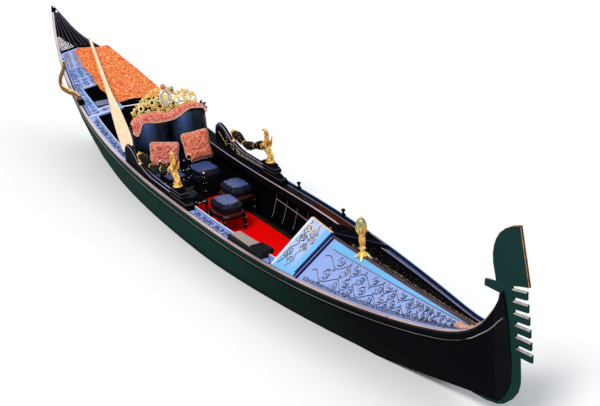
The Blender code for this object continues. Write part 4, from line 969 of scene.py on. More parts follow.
def makeSeatBack():
    plan = seatBack
    for side in sideName:
        outline = []
        for k in range(25):
            share = k / 24
            outline.append((side * (0.004 + share * (plan["half"] - 0.006)), backTop(share) - 0.004))
        for k in range(1, 7):
            drop = (backTop(1) - plan["flare"] - 0.05) * k / 6
            outline.append((side * (plan["half"] - 0.002), backTop(1) - drop))
        outline.append((side * (plan["lowHalf"] + 0.02), plan["flare"] - 0.01))
        for k in range(1, 9):
            drop = (plan["flare"] - 0.03 - plan["low"]) * k / 8
            outline.append((side * plan["lowHalf"], plan["flare"] - 0.03 - drop))
        for k in range(1, 9):
            outline.append((side * (plan["lowHalf"] - (plan["lowHalf"] - 0.004) * k / 8), plan["low"]))
        for k in range(1, 12):
            outline.append((side * 0.004, plan["low"] + (backTop(0) - 0.02 - plan["low"]) * k / 12))
        middleY = side * plan["half"] / 2
        middleZ = plan["middleZ"]
        rings = []
        for scale, depth in plan["levels"]:
            ring = []
            for y, z in outline:
                y = middleY + (y - middleY) * (1 - (1 - scale) * 0.9)
                z = middleZ + (z - middleZ) * (1 - (1 - scale) * 0.55)
                ring.append((backFrontX(z) - plan["recess"] - plan["thick"] * depth, plan["middle"] + y, z))
            rings.append(ring)
        piece = Workpiece()
        piece.rings(rings)
        half = piece.make("backrest_" + sideName[side], "backLeather")
        if side == port:
            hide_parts("backrest")
        swell(half, plan["voxel"], plan["most"])


# Gold crest: pierced scrolls in the plane behind the seat's back. Its edges are tables of y and z
crestPlan = {
    "behind": 0.104, "thick": 0.72, "pitch": 0.062, "coil": 0.035, "rod": 0.0108,
    "top": ((-0.330, 1.120), (-0.313, 1.184), (-0.251, 1.222), (-0.170, 1.294), (-0.095, 1.329),
            (-0.020, 1.365), (0.066, 1.386), (0.145, 1.392), (0.220, 1.350), (0.298, 1.287), (0.357, 1.301),
            (0.416, 1.314), (0.491, 1.260), (0.562, 1.218), (0.567, 1.165)),
    "low": ((-0.330, 1.060), (-0.227, 1.095), (-0.088, 1.095), (0.037, 1.085), (0.142, 1.045),
            (0.264, 1.080), (0.372, 1.115), (0.567, 1.120)),
    "holes": ((0.293, 1.215), (0.362, 1.222), (0.455, 1.205), (-0.201, 1.198), (-0.043, 1.242)),
    "holeReach": 0.030,
    "medallion": (0.145, 1.277), "oval": (0.062, 0.086),
    # round the medallion: share of its size, radius, ahead, slot
    "rims": ((1.04, 0.0115, 0.006, 1), (1.22, 0.0070, 0.002, 0), (0.84, 0.0035, 0.010, 2)),
    # ball on top: y, z, radius
    "balls": ((0.138, 1.414, 0.034), (0.244, 1.364, 0.033)),
}


def crestPoint(y, z, ahead=0.0):
    return Vector((backFrontX(z) - crestPlan["behind"] + ahead, y, z))


def scroll(piece, centre, radius, start, turns, thick, point, sense=1, slot=0, hint=(1, 0, 0), tip=True):
    path = []
    radii = []
    steps = int(16 * turns) + 4
    for k in range(steps + 1):
        share = k / steps
        angle = start + sense * math.tau * turns * share
        reach = radius * (1 - 0.80 * share)
        path.append(point(centre[0] + reach * math.cos(angle), centre[1] + reach * math.sin(angle)))
        radii.append(thick * (1 - 0.35 * share))
    piece.rod(path, radii, 7, slot, crestPlan["thick"], hint)
    if tip:
        piece.ball(path[-1], thick * 1.25, slot, 8, 5)


def leafRod(piece, start, end, bend, thick, point, slot=0, hint=(1, 0, 0)):
    path = []
    radii = []
    across = (-(end[1] - start[1]), end[0] - start[0])
    for k in range(8):
        share = k / 7
        sway = bend * math.sin(math.pi * share)
        path.append(point(start[0] + (end[0] - start[0]) * share + across[0] * sway,
                          start[1] + (end[1] - start[1]) * share + across[1] * sway))
        radii.append(thick * (0.25 + 1.1 * math.sin(math.pi * min(share * 0.85 + 0.12, 1.0)) ** 1.2))
    piece.rod(path, radii, 7, slot, 0.6, hint)


def makeCrest():
    plan = crestPlan
    chance = random.Random(11)
    piece = Workpiece()
    midY, midZ = plan["medallion"]
    for edge, lift, thick in (("top", -0.010, 0.0095), ("low", 0.012, 0.015), ("low", 0.034, 0.009)):
        line = [(y, readEdge(plan[edge], y, 1) + lift) for y in spread(-0.326, 0.563, 60)]
        piece.rod([crestPoint(y, z) for y, z in line], thick, 8, 0, 0.8, (1, 0, 0))
    # coils fill the space between the two edges
    for k, y in enumerate(spread(-0.305, 0.545, int(0.85 / plan["pitch"]))):
        low, top = readEdge(plan["low"], y, 1) + 0.035, readEdge(plan["top"], y, 1) - 0.012
        count = max(1, round((top - low) / plan["pitch"]))
        for j in range(count):
            z = low + (top - low) * (j + (0.35 if k % 2 else 0.65)) / count
            wide, high = (radius + 0.030 for radius in plan["oval"])
            oval = ((y - midY) / wide) ** 2 + ((z - midZ) / high) ** 2
            nearHole = min(math.hypot(y - a, z - b) for a, b in plan["holes"])
            if oval > 1 and nearHole > 0.046:
                scroll(piece, (y, z), plan["coil"], math.tau * chance.random(), 1.05, plan["rod"],
                       crestPoint, 1 if (k + j) % 2 else -1, (k + j) % 2)
    # leaf tips along the top
    for k, y in enumerate(spread(-0.320, 0.555, 27)):
        z = readEdge(plan["top"], y, 1) - 0.016
        lean = 0.016 if k % 2 else -0.016
        tip = (y + lean, z + 0.040 + 0.014 * chance.random())
        leafRod(piece, (y, z), tip, 0.25 if k % 2 else -0.25, 0.0115, crestPoint, k % 2)
    for y, z in plan["holes"]:
        reach = plan["holeReach"]
        ring = [crestPoint(y + reach * math.cos(a), z + reach * 1.1 * math.sin(a), 0.004)
                for a in anglesOf(20, 2)]
        piece.rod(ring, 0.0105, 8, 1, 0.8, (1, 0, 0))
        for i in range(9):
            angle = math.tau * i / 9 + 0.3
            leafRod(piece, (y + 0.030 * math.cos(angle), z + 0.033 * math.sin(angle)),
                    (y + 0.054 * math.cos(angle + 0.3), z + 0.058 * math.sin(angle + 0.3)), 0.2, 0.0100,
                    crestPoint, i % 2)
    # round the medallion
    for k in range(18):
        angle = math.tau * (k + 0.5) / 18
        leafRod(piece, (midY + 0.084 * math.cos(angle), midZ + 0.106 * math.sin(angle)),
                (midY + 0.112 * math.cos(angle + 0.12), midZ + 0.134 * math.sin(angle + 0.12)), 0.2, 0.0120,
                crestPoint, k % 2)
    crest = piece.make("crest_scrolls", ("gold", "paleGold"))
    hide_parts("crest")
    ear = Workpiece()
    for y, z, turn in ((0.636, 1.098, 0.4), (0.650, 1.060, 2.2), (0.600, 1.130, 1.2)):
        scroll(ear, (y, z), 0.026, turn, 1.1, 0.0085, lambda y, z: crestPoint(y, z, 0.07))
    ear.make("backrest_port_scroll", "blackLacquer")
    # blank oval medallion in a silver rim, with two balls on top
    wide, high = plan["oval"]

    def oval(reach, ahead, more=0):
        return [crestPoint(midY + wide * reach * math.cos(a), midZ + high * reach * math.sin(a), ahead)
                for a in anglesOf(32, more)]
    piece = Workpiece()
    piece.rings([oval(*level) for level in ((1.0, -0.016), (1.0, 0.002), (0.6, 0.012), (0.05, 0.015))])
    for reach, thick, ahead, slot in plan["rims"]:
        piece.rod(oval(reach, ahead, 2), thick, 8, slot)
    piece.make("crest_medallion", ("paleGold", "silver", "lilacPaint"))
    piece = Workpiece()
    for k, (y, z, radius) in enumerate(plan["balls"]):
        piece.ball(crestPoint(y, z), radius, k, 18, 12)
        piece.ball(crestPoint(y, z - radius - 0.006), 0.017, 1, 12, 6)
    piece.make("crest_balls", ("redGold", "greenGold"))


# Brocade frill over the top of the seat's back, with a tail at the starboard end: tables of y and z
frillPlan = {
    "top": ((-0.402, 1.075), (-0.373, 1.114), (-0.270, 1.148), (-0.133, 1.150), (-0.009, 1.138),
            (0.095, 1.100), (0.216, 1.136), (0.323, 1.165), (0.422, 1.166), (0.559, 1.142), (0.636, 1.080)),
    "low": ((-0.402, 0.965), (-0.378, 0.925), (-0.345, 0.912), (-0.312, 0.960), (-0.275, 1.040),
            (-0.223, 1.060), (-0.084, 1.028), (0.055, 1.018), (0.170, 1.022), (0.258, 1.050),
            (0.356, 1.098), (0.417, 1.114), (0.527, 1.098), (0.591, 1.085), (0.636, 1.010)),
    "from": -0.402, "wide": 1.038, "folds": 31, "depth": 0.0065, "ahead": 0.022,
}


def frillPoint(share, down):
    y = frillPlan["from"] + frillPlan["wide"] * (share + 1) / 2
    top, low = readEdge(frillPlan["top"], y, 1), readEdge(frillPlan["low"], y, 1)
    z = top - (top - low) * down
    wave = math.sin(frillPlan["folds"] * math.pi * share + 2 * down + 1.3 * math.sin(9 * share))
    ahead = frillPlan["ahead"] + frillPlan["depth"] * (1 + wave) * (0.25 + 0.75 * down)
    over = max(0.0, 0.16 - down) / 0.16
    ahead -= 0.045 * over ** 1.5
    z += 0.004 * wave * down
    return Vector((backFrontX(z) + ahead, y, z))


def gridPiece(name, point, across, along, finish, body="boat"):
    piece = Workpiece()
    points = [point(i / across, j / along) for i in range(across + 1) for j in range(along + 1)]
    faces = []
    for i in range(across):
        for j in range(along):
            a = i * (along + 1) + j
            faces.append((a, a + along + 1, a + along + 2, a + 1))
    piece.add(points, faces)
    return piece.make(name, finish, body)


def declareSheet(piece, width, length):
    area = sum(face.area for face in piece.data.polygons)
    length = max(length, area / width * 1.002)


def makeFrill():
    frill = gridPiece("crest_frill_cloth", lambda a, b: frillPoint(-1 + 2 * a, b), 210, 12, "brocadePink")
    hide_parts("crest_frill")
    hem = Workpiece()
    for down, thick in ((1.0, 0.0055), (0.84, 0.0022)):
        edge = [frillPoint(share, down) + Vector((0.002, 0, 0)) for share in spread(-1, 1, 210)]
        hem.rod(edge, thick, 6, 0, 0.6, (1, 0, 0))
    cream = hem.make("crest_frill_hem", "creamTrim")
    declareSheet(frill, 1.25, 0.30)


# Brocade cushions
cushionPlan = {
    # node, middle, half width, half height, lean and roll in degrees, finish, seed
    "cushions": (("cushion_port", (-1.5570, 0.398, 0.6280), 0.190, 0.190, 68, 1, "brocadeCoral", 5),
                 ("cushion_starboard", (-1.5768, -0.055, 0.6026), 0.198, 0.168, 74, -13, "brocadePink", 9)),
    "thick": 0.084, "voxel": 0.006, "most": 0.016,
    # creases run in from the corners and across the middle: from, to, depth
    "creases": (((-0.75, 0.7), (0.1, -0.15), 0.0075), ((0.2, -0.8), (0.35, 0.7), 0.0050),
                ((0.8, -0.8), (0.3, -0.3), 0.0060), ((0.8, 0.75), (0.45, 0.25), 0.0050)),
    "levels": ((0.55, 0.06), (0.80, 0.16), (0.955, 0.36), (1.0, 0.50), (0.955, 0.64), (0.80, 0.84),
               (0.55, 0.94)),
}


# A cushion's outline pulls in between its corners
def cushionRings(halfHigh, halfWide):
    rings = []
    for scale, share in cushionPlan["levels"]:
        ring = []
        for angle in anglesOf(64, 0, 0.5):
            c, s = math.cos(angle), math.sin(angle)
            reach = (abs(c) ** 9 + abs(s) ** 9) ** (-1 / 9)
            pull = 1 - 0.035 * (1 - abs(math.sin(2 * angle)) ** 2) * scale
            ring.append(Vector((halfHigh * scale * reach * c * pull, halfWide * scale * reach * s * pull,
                                cushionPlan["thick"] * share)))
        rings.append(ring)
    return rings


# The outermost points of a cover, once round
def coverRim(cover, count=64):
    rim = [None] * count
    for vertex in cover.data.vertices:
        p = vertex.co
        k = int(math.atan2(p.y, p.x) % math.tau / math.tau * count) % count
        if rim[k] is None or math.hypot(p.x, p.y) > math.hypot(rim[k].x, rim[k].y):
            rim[k] = p.copy()
    rim = [p for p in rim if p is not None]
    return [(rim[k - 1] + rim[k] * 2 + rim[(k + 1) % len(rim)]) / 4 for k in range(len(rim))]


def makeCushions():
    for node, middle, wide, high, lean, roll, finish, seed in cushionPlan["cushions"]:
        chance = random.Random(seed)
        lay = (Matrix.Translation(Vector(middle)) @ Matrix.Rotation(math.radians(lean), 4, "Y")
               @ Matrix.Rotation(math.radians(roll), 4, "Z"))
        piece = Workpiece()
        piece.rings(cushionRings(high + 0.012, wide + 0.012))
        cushion = piece.make(node + "_cover", finish)
        swell(cushion, cushionPlan["voxel"], cushionPlan["most"])
        for vertex in cushion.data.vertices:
            if vertex.co.z < cushionPlan["thick"] * 0.5:
                continue
            for (x0, y0), (x1, y1), deep in cushionPlan["creases"]:
                a = Vector((x0 * high, y0 * wide))
                b = Vector((x1 * high, y1 * wide))
                p = Vector((vertex.co.x, vertex.co.y))
                t = min(max((p - a).dot(b - a) / (b - a).length_squared, 0), 1)
                gap = (p - a - (b - a) * t).length
                vertex.co.z -= deep * math.exp(-(gap / 0.011) ** 2) * math.sin(math.pi * min(t + 0.12, 1.0))
                vertex.co.z += deep * 0.6 * math.exp(-((gap - 0.022) / 0.012) ** 2)
        rim = coverRim(cushion)
        cushion.matrix_world = lay
        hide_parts(node)
        bpy.context.view_layer.update()
        # cream fringe, border cord and corner tassels
        trim = Workpiece()
        trim.rod([lay @ p for p in rim + rim[:2]], 0.0040, 6, 0)
        for k in range(len(rim) * 3):
            p0 = rim[k // 3]
            p1 = rim[(k // 3 + 1) % len(rim)]
            foot = p0.lerp(p1, (k % 3) / 3)
            out = Vector((foot.x, foot.y, 0)).normalized()
            along = (p1 - p0).normalized()
            tip = foot + out * (0.005 + 0.009 * chance.random()) + along * 0.006 * (chance.random() - 0.5)
            trim.rod([lay @ foot, lay @ foot.lerp(tip, 0.6), lay @ tip], [0.0030, 0.0024, 0.0008], 4, 0)
        trim.make(node + "_fringe", "creamTrim")


# Rug over the stern deck and the top of the stern
rugPlan = {"aftX": -4.455, "foreX": -3.225, "lowY": -0.092, "hang": 0.13, "up": 0.007, "wave": 0.006}


def rugPoint(solid, tree, a, b):
    reach = rugPlan["hang"] * (0.85 + 0.15 * math.sin(11 * b))
    x = rugPlan["aftX"] + (rugPlan["foreX"] + reach - rugPlan["aftX"]) * a
    low = rugPlan["lowY"] + 0.012 * math.sin(17 * a) + 0.008 * math.sin(41 * a) + 0.05 * max(0, a - 0.8)
    high = rugEdge(solid, a)
    y = low + (high - low) * b
    place = onTop(tree, x, y)
    z = place.z if place is not None else fallbackTop(tree, x, y)
    ripple = math.sin(23 * a + 3 * b) * math.sin(9 * b + 2 * a) + 0.5 * math.sin(31 * b + 11 * a)
    ripple *= rugPlan["wave"]
    edge = min(b, 1 - b, a, 1 - a)
    if edge < 0.012:
        ripple -= 0.002
    return Vector((x, y, z + rugPlan["up"] + abs(ripple)))


# The solid rug's port edge
def rugEdge(solid, a):
    x = rugPlan["aftX"] + (rugPlan["foreX"] - rugPlan["aftX"]) * a
    edge = 0.2
    for k in range(120):
        y = 0.2 + 0.5 * k / 119
        if onTop(solid, x, y) is None:
            break
        edge = y
    return edge - 0.004


# The height of the nearest place beside a spot with nothing under it
def fallbackTop(tree, x, y):
    for k in range(60):
        for step in (-1, 1):
            place = onTop(tree, x, y + step * 0.006 * k)
            if place is not None:
                return place.z
    return 1.0


def makeRug():
    solid = surfaceOf("stern_rug")
    tree = surfaceOf("stern_deck_port", "stern_deck_starboard", "stern_top", "stern_rug")
    rug = gridPiece("stern_rug_cloth", lambda a, b: rugPoint(solid, tree, a, b), 120, 66, "brocadeRug")
    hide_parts("stern_rug")
    border = Workpiece()
    for b in (0.0, 1.0):
        border.rod([rugPoint(solid, tree, k / 120, b) for k in range(121)], 0.0045, 6, 0 if b == 0 else 1)
    border.rod([rugPoint(solid, tree, 1.0, k / 60) for k in range(61)], 0.0045, 6, 0)
    trim = border.make("stern_rug_edge", ("rugEdge", "redBand"))
    declareSheet(rug, 1.30, 0.80)


# Carpet over the floor boards, cut in a zigzag along its port edge
carpetPlan = {"aft": -1.700, "fore": 2.050, "zigzag": 0.016, "tooth": 0.075, "up": 0.0014, "seams": (0.86,)}


def carpetPoint(tables, tree, a, b):
    x = carpetPlan["aft"] + (carpetPlan["fore"] - carpetPlan["aft"]) * a
    low, high = readEdge(tables[starboard], x, 2) + 0.002, readEdge(tables[port], x, 2) - 0.002
    tooth = abs((x / carpetPlan["tooth"]) % 1 - 0.5) * 2
    y = low + (high - carpetPlan["zigzag"] * tooth - low) * b
    spot = onTop(tree, x, y)
    height = spot.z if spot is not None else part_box("carpet")[1][2]
    ripple = 0.0009 * math.sin(31 * x + 5 * y) * math.sin(23 * y)
    return Vector((x, y, height + carpetPlan["up"] + ripple))


def makeCarpet():
    tree = surfaceOf("carpet")
    aft, fore = carpetPlan["aft"] + 0.01, carpetPlan["fore"] - 0.01
    tables = {side: edgeTable(tree, side, aft, fore, 24) for side in sideName}
    cloth = gridPiece("carpet_cloth", lambda a, b: carpetPoint(tables, tree, a, b), 200, 24, "carpetPile")
    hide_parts("carpet")
    seams = Workpiece()
    for x in carpetPlan["seams"]:
        a = (x - carpetPlan["aft"]) / (carpetPlan["fore"] - carpetPlan["aft"])
        seams.rod([carpetPoint(tables, tree, a, b) for b in spread(0.01, 0.99, 20)], 0.0022, 6)
    stitched = seams.make("carpet_seams", "carpetSeam")
    declareSheet(cloth, 0.90, 3.76)


# Gilded seahorse: head up, forelegs reaching aft to the garland, tail curled forward
seahorsePlan = {
    "foot": {starboard: (-0.12, -0.513), port: (-0.12, 0.70)},
    "z": 0.7523, "voxel": 0.0042, "relief": 130,
    # x and z above the foot, radius
    "body": ((0.030, 0.045, 0.024), (0.030, 0.080, 0.026), (0.012, 0.125, 0.034), (-0.018, 0.165, 0.042),
             (-0.028, 0.205, 0.041), (-0.012, 0.245, 0.033), (0.010, 0.285, 0.026), (0.016, 0.325, 0.023),
             (0.004, 0.360, 0.024)),
    "head": ((0.012, 0.372, 0.022), (-0.012, 0.385, 0.021), (-0.036, 0.383, 0.016), (-0.060, 0.374, 0.0125),
             (-0.074, 0.368, 0.010)),
    "tail": ((0.020, 0.070, 0.020), (0.052, 0.062, 0.020), (0.082, 0.078, 0.018), (0.092, 0.112, 0.015),
             (0.078, 0.140, 0.012), (0.055, 0.142, 0.010), (0.046, 0.122, 0.008), (0.058, 0.110, 0.006)),
    # turned stand under the foot: radius and height
    "stand": ((0.052, 0.0), (0.058, 0.006), (0.056, 0.014), (0.044, 0.020), (0.040, 0.028), (0.047, 0.036),
              (0.045, 0.046), (0.030, 0.056), (0.020, 0.066)),
    "leg": ((-0.035, 0.195, 0.017), (-0.066, 0.206, 0.013), (-0.092, 0.190, 0.010), (-0.104, 0.160, 0.008),
            (-0.092, 0.142, 0.009)),
}


def makeSeahorses():
    plan = seahorsePlan
    for side in sideName:
        footX, footY = plan["foot"][side]

        def at(x, z, y=0.0):
            return Vector((footX + x - 0.13 * (z - 0.08), footY + y, plan["z"] + z))
        piece = Workpiece()
        for part in ("body", "head", "tail"):
            line = smoothLine([(x, r, z) for x, z, r in plan[part]], 4)
            piece.rod([at(p.x, p.z) for p in line], [p.y for p in line], 12)
        for lean, reach in ((-0.020, 0.0), (0.022, 0.022)):
            line = smoothLine([(x, r, z) for x, z, r in plan["leg"]], 4)
            piece.rod([at(p.x - reach * k / len(line), p.z + reach * k / len(line), lean)
                       for k, p in enumerate(line)], [p.y for p in line], 8)
        for k in range(9):       # mane
            share = k / 8
            x = 0.030 + 0.014 * math.sin(math.pi * share)
            z = 0.245 + 0.135 * share
            piece.rod([at(x - 0.018, z), at(x + 0.004, z + 0.004), at(x + 0.016, z + 0.016)],
                      [0.012, 0.009, 0.004], 6)
        for k in range(5):       # fins along the back of the tail
            angle = 0.2 + 0.5 * k
            c, s = math.cos(angle), math.sin(angle)
            piece.rod([at(0.060 + 0.020 * c, 0.100 + 0.030 * s), at(0.066 + 0.050 * c, 0.104 + 0.055 * s)],
                      [0.009, 0.003], 6)
        for lean in (-1, 1):     # ears, wings, cheeks
            piece.rod([at(0.010, 0.388, lean * 0.010), at(0.016, 0.412, lean * 0.014)], [0.007, 0.002], 6)
            piece.ball(at(-0.020, 0.384, lean * 0.012), 0.011, 0, 8, 6)
            for k in range(4):
                rise = 0.03 * k
                piece.rod([at(-0.020 + 0.01 * k, 0.180 + rise * 0.6, lean * 0.036),
                           at(0.020 + 0.012 * k, 0.205 + rise, lean * 0.046),
                           at(0.052 + 0.008 * k, 0.235 + rise, lean * 0.038)], [0.010, 0.009, 0.003], 6)
        piece.turned(plan["stand"], at(0.02, 0.0), 28, 0, 14, 0.003, (0.0, 0.05))
        horse = piece.make("seahorse_" + sideName[side] + "_gilt", "gold")
        fuse = horse.modifiers.new("fused", "REMESH")
        fuse.mode = "VOXEL"
        fuse.voxel_size = plan["voxel"]
        ease = horse.modifiers.new("eased", "SMOOTH")
        ease.iterations = 2
        ease.factor = 0.45
        swapMesh(horse, evaluatedMesh(horse))
        for face in horse.data.polygons:
            face.use_smooth = True
        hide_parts("seahorse_" + sideName[side])
        relief = Workpiece()
        for lean in (-1, 1):
            relief.ball(at(-0.026, 0.392, lean * 0.019), 0.0042, 1, 8, 6)
        chance = random.Random(41)
        tree = treeOf(horse)
        for k in range(plan["relief"]):
            angle = math.tau * chance.random()
            away = Vector((math.cos(angle), math.sin(angle), 0))
            spot = at(0.0, 0.04 + 0.34 * chance.random())
            hit = meet(tree, spot + away * 0.3, -away)
            if hit is not None:
                relief.ball(hit - away * 0.001, 0.0075 + 0.003 * chance.random(), k % 3, 7, 4, (1, 1, 0.6))
        relief.make("seahorse_" + sideName[side] + "_relief",
                    ("paleGold", "blackMatte", "brownGold"))


# Furry black garland from the knob to the seahorse, gathered by gold beads
garlandPlan = {
    "path": ((-1.115, 0.838), (-1.00, 0.842), (-0.86, 0.800), (-0.72, 0.792), (-0.58, 0.822), (-0.44, 0.868),
             (-0.30, 0.912), (-0.215, 0.922)),
    "bulges": 3, "thin": 0.026, "swell": 0.046, "tufts": 2600, "hair": 0.022,
    # it runs forward from the knob's side of the parapet to the seahorse
    "aft": -1.128, "fore": -0.205,
    "knobX": -1.13, "knobY": {starboard: -0.5395, port: 0.7365}, "knobZ": 0.7303,
    "knob": ((0.020, 0.0), (0.028, 0.008), (0.016, 0.022), (0.013, 0.040), (0.026, 0.058), (0.014, 0.074),
             (0.022, 0.084), (0.032, 0.104), (0.033, 0.122), (0.024, 0.140), (0.010, 0.150)),
}


def makeGarlands():
    plan = garlandPlan
    for side in sideName:
        chance = random.Random(31 + side)
        knobY = plan["knobY"][side]
        endY = seahorsePlan["foot"][side][1]
        share = lambda x: (x - plan["aft"]) / (plan["fore"] - plan["aft"])
        line = smoothLine([(x, knobY + (endY - knobY) * share(x), z) for x, z in plan["path"]], 10)
        total = len(line) - 1
        radii = []
        for k in range(total + 1):
            swing = abs(math.sin(math.pi * plan["bulges"] * k / total))
            radii.append(plan["thin"] * 0.7 + plan["swell"] * swing ** 0.8)
        fur = Workpiece()
        fur.rod(line, [r * 0.8 for r in radii], 12)
        for k in range(plan["tufts"]):
            i = min(int(chance.random() * total), total - 1)
            ahead = (line[i + 1] - line[i]).normalized()
            out = Vector((chance.gauss(0, 1), chance.gauss(0, 1), chance.gauss(0, 1)))
            out = (out - ahead * out.dot(ahead)).normalized()
            foot = line[i].lerp(line[i + 1], chance.random()) + out * radii[i] * 0.62
            lean = ahead * (chance.random() - 0.3) * 0.8
            hair = (out + lean).normalized() * plan["hair"] * (0.6 + 0.7 * chance.random())
            side1 = hair.cross(ahead).normalized() * 0.0028
            side2 = hair.cross(side1).normalized() * 0.0028
            tip = foot + hair + Vector((0, 0, -0.003))
            fur.add([foot + side1, foot - side1 * 0.5 + side2, foot - side1 * 0.5 - side2, tip],
                    [(0, 1, 3), (1, 2, 3), (2, 0, 3)])
        garland = fur.make("garland_" + sideName[side] + "_fur", "blackFur")
        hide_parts("garland_" + sideName[side])
        gold = Workpiece()
        knobX, knobZ = plan["knobX"], plan["knobZ"]
        gold.turned(plan["knob"], (knobX, knobY, knobZ), 20, 0, 10, 0.003, (0.09, 0.13))
        gold.ball((knobX, knobY, knobZ + 0.156), 0.009, 0, 10, 6)
        for k in range(1, plan["bulges"]):
            i = int(total * k / plan["bulges"])
            ahead = (line[i + 1] - line[i]).normalized()
            around = ahead.orthogonal().normalized()
            for j in range(9):
                turn = Matrix.Rotation(math.tau * j / 9, 3, ahead)
                gold.ball(line[i] + turn @ around * radii[i] * 1.05, 0.0095, 0, 8, 5)
        for i in (2, total - 3):
            gold.rod([line[i] + Vector((-0.008, 0, 0)), line[i], line[i] + Vector((0.008, 0, 0))],
                     [radii[i] * 0.9, radii[i] * 1.25, radii[i] * 0.9], 12, 0)
        for k in range(26):      # small gilt leaves caught in the fur
            i = int(chance.random() * total)
            out = Vector((chance.random() - 0.5, side * -0.3 - 0.6 * chance.random(), chance.random()))
            gold.ball(line[i] + out.normalized() * radii[i] * 1.08, 0.0042, 0, 6, 4, (1.6, 1, 1))
        beads = gold.make("garland_" + sideName[side] + "_gilt", "gold")


makeSeatPads()
print("seat pads made")
makeSeatBack()
makeFrill()
makeCrest()
print("seat back, frill and crest made")
makeCushions()
makeRug()
makeCarpet()
print("cushions, rug and carpet made")
makeSeahorses()
makeGarlands()
print("seahorses and garlands made")


# A place on a surface for carving, or None where the carving may not go
def within(tree, allowed):
    return lambda x, y, lift: onTop(tree, x, y, lift) if allowed(x, y) else None


# Raised scroll carving. Each stroke is a low ridge: its crown and one slope dark, the other slope bright.
# The slope turned toward shade takes the dark finish as painted shade, the other slope takes the bright
# finish as painted highlight.
def carve(piece, place, stroke, dark=0, body=0, bright=2, height=0.003, shade=(0.75, -0.66)):
    points, widths = stroke
    rows = []
    for k, point in enumerate(points):
        ahead = points[min(k + 1, len(points) - 1)] - points[max(k - 1, 0)]
        if ahead.length < 1e-9:
            continue
        ahead = ahead.normalized()
        left = Vector((-ahead.y, ahead.x))
        # the slope facing the shade direction is the one painted dark, as painted shade
        leftInPaintedShade = left.x * shade[0] + left.y * shade[1] > 0
        cuts = (-1.0, -0.55, 0.10, 1.0) if leftInPaintedShade else (-1.0, -0.10, 0.55, 1.0)
        row = []
        for reach, lift in zip(cuts, (0.0004, height, height, 0.0004)):
            spot = point + left * reach * widths[k]
            row.append(place(spot.x, spot.y, lift))
        rows.append((row, leftInPaintedShade))
    for (row, leftInPaintedShade), (following, _) in zip(rows, rows[1:]):
        if None in row or None in following:
            continue
        for i in range(3):
            slot = body if i == 1 else (dark if (i == 2) == leftInPaintedShade else bright)
            piece.add([row[i], row[i + 1], following[i + 1], following[i]], [(0, 1, 2, 3)], slot)


def carveAll(piece, place, strokes, *slots, height=0.003):
    for stroke in strokes:
        carve(piece, place, stroke, *slots, height=height)


def leafStroke(start, angle, length, bend, wide):
    points = []
    widths = []
    for k in range(6):
        share = k / 5
        turned = angle + bend * share
        points.append(start + heading(turned) * length * share)
        widths.append(wide * (0.35 + 1.0 * math.sin(math.pi * (0.15 + 0.80 * share))) * (1.1 - 0.6 * share))
    return points, widths


# A running scroll along a path: a waving stem, with a leafy coil in each bay
def runningScroll(path, half, wide, seed, bay=2.1, turns=1.5, leaves=4):
    chance = random.Random(seed)
    path = [Vector((p[0], p[1])) for p in path]
    line = []
    for p, q in zip(path, path[1:]):
        count = max(2, int((q - p).length / 0.008))
        line += [p.lerp(q, i / count) for i in range(count)]
    line.append(path[-1])
    total = len(line)
    strokes = []
    stem = []
    phase = 0.4
    for k in range(total - 1):
        share = k / total
        ahead = (line[k + 1] - line[k])
        step = ahead.length
        ahead = ahead.normalized()
        across = Vector((-ahead.y, ahead.x))
        h = half(share)
        stem.append(line[k] + across * 0.40 * h * math.sin(phase))
        before = phase
        phase += step * math.pi / (bay * h * (1 + 0.28 * math.sin(seed + 23 * share)))
        if int(before / math.pi - 0.5) != int(phase / math.pi - 0.5) and phase > math.pi / 2:
            side = -1 if math.sin(phase) > 0 else 1
            centre = line[k] + across * side * 0.34 * h + ahead * h * 0.1
            reach = h * (0.56 + 0.08 * chance.random())
            base = math.atan2(-ahead.y, -ahead.x)
            sense = -side
            coil = []
            count = 26
            for i in range(count + 1):
                part = i / count
                angle = base + sense * math.tau * turns * part
                radius = reach * (1 - 0.84 * part ** 0.85)
                coil.append(centre + heading(angle) * radius)
            strokes.append((coil, [wide * (1.0 - 0.45 * i / count) for i in range(count + 1)]))
            bud = [coil[-1] + heading(a) * 0.10 * h for a in anglesOf(7, 1)]
            strokes.append((bud, [wide * 0.75] * 8))
            for i in range(leaves):
                part = 0.10 + 0.52 * i / leaves
                at = coil[int(part * count)]
                out = (at - centre)
                angle = math.atan2(out.y, out.x) + sense * (0.55 + 0.3 * chance.random())
                length = h * (0.30 + 0.16 * chance.random())
                strokes.append(leafStroke(at, angle, length, sense * 0.9, wide * 0.95))
            crest = line[k] - across * side * 0.52 * h
            outward = math.atan2(-across.y * side, -across.x * side)
            for i in (-1, 0, 1):
                strokes.append(leafStroke(crest, outward + 0.75 * i, h * (0.34 - 0.08 * abs(i)), 0.5 * i,
                                          wide * 0.9))
    strokes.append((stem, [wide * 1.05] * len(stem)))
    return strokes


# A dense band of small C-shaped curls
def curlBand(path, half, wide, seed, gap=0.9):
    chance = random.Random(seed)
    strokes = []
    travelled = 0.0
    flip = 1
    path = [Vector((p[0], p[1])) for p in path]
    for k, (p, q) in enumerate(zip(path, path[1:])):
        ahead = (q - p).normalized()
        across = Vector((-ahead.y, ahead.x))
        h = half(k / len(path))
        length = (q - p).length
        while travelled < length:
            centre = p + ahead * travelled + across * h * 0.5 * (chance.random() - 0.5)
            base = math.atan2(ahead.y, ahead.x) + chance.uniform(-0.7, 0.7)
            count = 9
            reach = h * chance.uniform(0.45, 0.72)
            curl = [centre + heading(base + flip * 4.6 * i / count) * reach * (1 - 0.55 * i / count)
                    for i in range(count + 1)]
            strokes.append((curl, [wide * (1 - 0.4 * i / count) for i in range(count + 1)]))
            foot = centre + across * flip * h * 0.5
            strokes.append(leafStroke(foot, base + 1.6 * flip, h * 0.6, 0.8, wide * 0.9))
            flip = -flip
            travelled += h * gap
        travelled -= length
    return strokes


